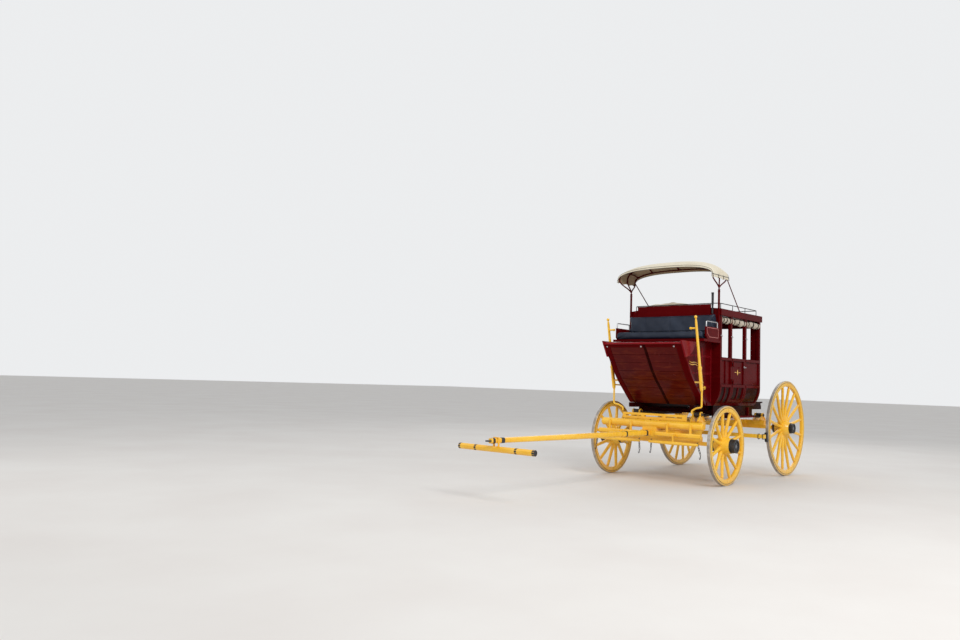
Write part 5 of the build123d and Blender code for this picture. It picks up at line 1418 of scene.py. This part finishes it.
def platform():
    """Seven boards with gaps on three bearers, and an iron edge."""
    low, high = low_of["rear_platform"], high_of["rear_platform"]
    boards = Shape()
    edges = np.linspace(low[0], high[0] - 0.001, 8)
    for start, end in zip(edges[:-1], edges[1:]):
        boards.loft(block((start + 0.0015, low[1], high[2] - 0.024), (end - 0.0015, high[1], high[2]), 0.0035))
    for y in (-0.50, 0.0, 0.50):
        near, far = (low[0] + 0.015, y - 0.035, low[2]), (high[0] - 0.004, y + 0.035, high[2] - 0.0235)
        boards.loft(block(near, far, 0.004))
    # the boards and bearers wear the maroon's painted-shade copy
    boards.piece("platform_boards", SHADED_MAROON, "coach", ["rear_platform"])
    near = (low[0] - 0.0005, low[1] + 0.02, high[2] - 0.021)
    far = (low[0] + 0.0025, high[1] - 0.02, high[2] - 0.003)
    Shape().loft(block(near, far, 0.0012)).piece("platform_edge", STEEL)


rear_beads()
platform()


# Brake shoes: hollow faces that follow the rear tyres, in iron hangers on the beam
def brake_shoes():
    """Each shoe is a box section carried round an arc centred on the wheel, thicker in its middle."""
    low, high = low_of["brake_blocks"], high_of["brake_blocks"]
    face = (high_of["tyre_rear_left"][0] - low_of["tyre_rear_left"][0]) / 2 + 0.0125
    first, last = (math.asin(rise / 0.80) for rise in (low[2] - REAR_Z + 0.002, high[2] - REAR_Z - 0.002))
    turn = np.linspace(first, last, 24)[:, None]
    thick = 0.030 + 0.020 * (1 - np.linspace(-1, 1, 24)[:, None] ** 2) ** 0.5
    reach = face + thick * (0, 0, 1, 1)
    y = WHEEL_Y + 0.019 * np.array([-1, 1, 1, -1]) + 0 * turn
    points = np.stack([REAR_X + reach * np.cos(turn), y, REAR_Z + reach * np.sin(turn)], -1)
    Shape().loft(points).mirrored().piece("brake_shoes", BLACK, "coach", ["brake_blocks"])
    clips = Shape()
    beam_x, beam_z = middle_of("brake_beam")[0], low_of["brake_beam"][2] + 0.029
    outline = [
        (0.0, 0.0325), (0.0325, 0.0325), (0.0325, -0.0400),
        (-0.0325, -0.0400), (-0.0325, 0.0325), (0.0, 0.0325),
    ]
    for clip_y in (0.862, 0.930):
        path = smooth_line([(beam_x + ahead, clip_y, beam_z + rise) for ahead, rise in outline], 4, 0.12)
        clips.bar(path, 0.0065, 0.0040, power=3.0, sides=10, up=(0, 1, 0))
    clips.mirrored().piece("brake_clips", BLACK)


brake_shoes()


# Small trim: the roof's welts and end boards, and nuts and ribs on the jacks
def roof_trim():
    """Welted seams that follow the roof's crown, and boards that close its arch at both ends."""
    low, high = low_of["roof"], high_of["roof"]
    last_seam = ROOF_HALF - 0.012
    welts, boards = Shape(), Shape()
    y = np.linspace(-last_seam, last_seam, 50)
    for x in np.linspace(low[0] + 0.012, high[0] - 0.012, 5):
        seam = np.stack([np.full(50, x), y, roof_z(y) + 0.0005], 1)
        welts.bar(seam, 0.0075, 0.0028, power=2.5, sides=10)
    for y in (-last_seam, -ROOF_HALF / 3, ROOF_HALF / 3, last_seam):
        seam = [(x, y, float(roof_z(y)) + 0.0005) for x in (low[0] + 0.002, high[0] - 0.002)]
        welts.bar(seam, 0.0075, 0.0030, power=2.5, sides=10)
    welts.piece("roof_welts", MAROON)
    y = np.linspace(0.62, -0.62, 40)
    foot = [(-0.62, ROOF_EDGE_Z - 0.006), (0.62, ROOF_EDGE_Z - 0.006)]
    arch = np.concatenate([foot, np.stack([y, roof_z(y) - 0.020], 1)])
    for x in (low[0] + 0.003, high[0] - 0.017):
        boards.loft(along_x(arch, x, x + 0.014))
    boards.piece("roof_end_boards", MAROON)


def pin_nuts():
    """Six-sided nuts with washers on both ends of the brace pins."""
    nuts = Shape()
    washer = [(0.0, 0.0), (0.0, 0.027), (0.0040, 0.027), (0.0055, 0.025), (0.0055, 0.0)]
    nut = [(0.0050, 0.0195), (0.0180, 0.0195), (0.0205, 0.0170), (0.0205, 0.0090)]
    for x, z, _ in JACKS:
        for way in (1, -1):
            centre = (x, BRACE_Y + way * 0.0602, z)
            nuts.lathe(washer, centre, way, 28).loft(turned(nut, centre, way, 6))
    nuts.mirrored().piece("pin_nuts", BLACK)


def jack_ribs():
    """A thick round edge up both legs of each jack and over its head."""
    ribs = Shape()
    turn = np.linspace(math.radians(203), math.radians(-23), 26)
    leg = np.linspace(0.0125, 0.0100, 10)
    thick = np.concatenate([leg, np.full(26, 0.0095), leg[::-1]])
    for x, z, foot in JACKS:
        for y in (BRACE_Y + 0.0605, BRACE_Y - 0.0605):
            head = np.stack([x + 0.0345 * np.cos(turn), np.full(26, y), z + 0.0345 * np.sin(turn)], 1)
            rear, front = (
                between((x + way * 0.096, y, foot + 0.012), (x + way * 0.036, y, z - 0.026), 10)
                for way in (-1, 1)
            )
            line = np.concatenate([rear, head, front[::-1]])
            ribs.bar(line, thick * 0.8, thick, power=2.3, sides=14, up=(0, 1, 0))
    ribs.mirrored().piece("jack_ribs", YELLOW)


roof_trim()
pin_nuts()
jack_ribs()


def stage():
    """Pale floor, pale surroundings and soft lamps."""
    far = 120.0
    floor_mesh = bpy.data.meshes.new("floor")
    corners = [(-far, -far, 0), (far, -far, 0), (far, far, 0), (-far, far, 0)]
    floor_mesh.from_pydata(corners, [], [(0, 1, 2, 3)])
    floor = bpy.data.objects.new("floor", floor_mesh)
    bpy.context.collection.objects.link(floor)
    ground = Finish("floor_finish")
    tone = ground.blend(ground.band(ground.noise(0.6, 4.0), 0.3, 0.7), (0.70, 0.66, 0.62), (0.74, 0.71, 0.67))
    floor_mesh.materials.append(ground.set(Base_Color=tone, Roughness=0.9))

    world = bpy.data.worlds.new("studio")
    world.use_nodes = True
    bpy.context.scene.world = world
    nodes, links = world.node_tree.nodes, world.node_tree.links
    sky = nodes["Background"]
    sky.inputs["Color"].default_value = (0.90, 0.93, 0.97, 1)
    sky.inputs["Strength"].default_value = 0.72
    seen = nodes.new("ShaderNodeBackground")
    seen.inputs["Color"].default_value = (0.84, 0.85, 0.86, 1)
    rays = nodes.new("ShaderNodeLightPath")
    shown = rays.outputs["Is Camera Ray"]
    for kind in ("Is Glossy Ray", "Is Transmission Ray"):
        either = nodes.new("ShaderNodeMath")
        either.operation = "MAXIMUM"
        links.new(shown, either.inputs[0])
        links.new(rays.outputs[kind], either.inputs[1])
        shown = either.outputs[0]
    mix = nodes.new("ShaderNodeMixShader")
    links.new(shown, mix.inputs["Fac"])
    links.new(sky.outputs["Background"], mix.inputs[1])
    links.new(seen.outputs["Background"], mix.inputs[2])
    links.new(mix.outputs["Shader"], nodes["World Output"].inputs["Surface"])

    aim = Vector((-1.0, 0.0, 1.2))
    for name, place, size, power in [
        ("key", (6.0, 9.0, 9.0), 5.0, 800.0),
        ("fill", (9.0, -5.0, 6.0), 8.0, 130.0),
        ("back", (-9.0, -3.0, 8.0), 7.0, 220.0),
    ]:
        light = bpy.data.lights.new(name, "AREA")
        light.shape = "DISK"
        light.size = size
        light.energy = power
        lamp = bpy.data.objects.new(name, light)
        facing = (aim - Vector(place)).to_track_quat("-Z", "Y").to_matrix().to_4x4()
        lamp.matrix_world = Matrix.Translation(place) @ facing
        bpy.context.collection.objects.link(lamp)


stage()
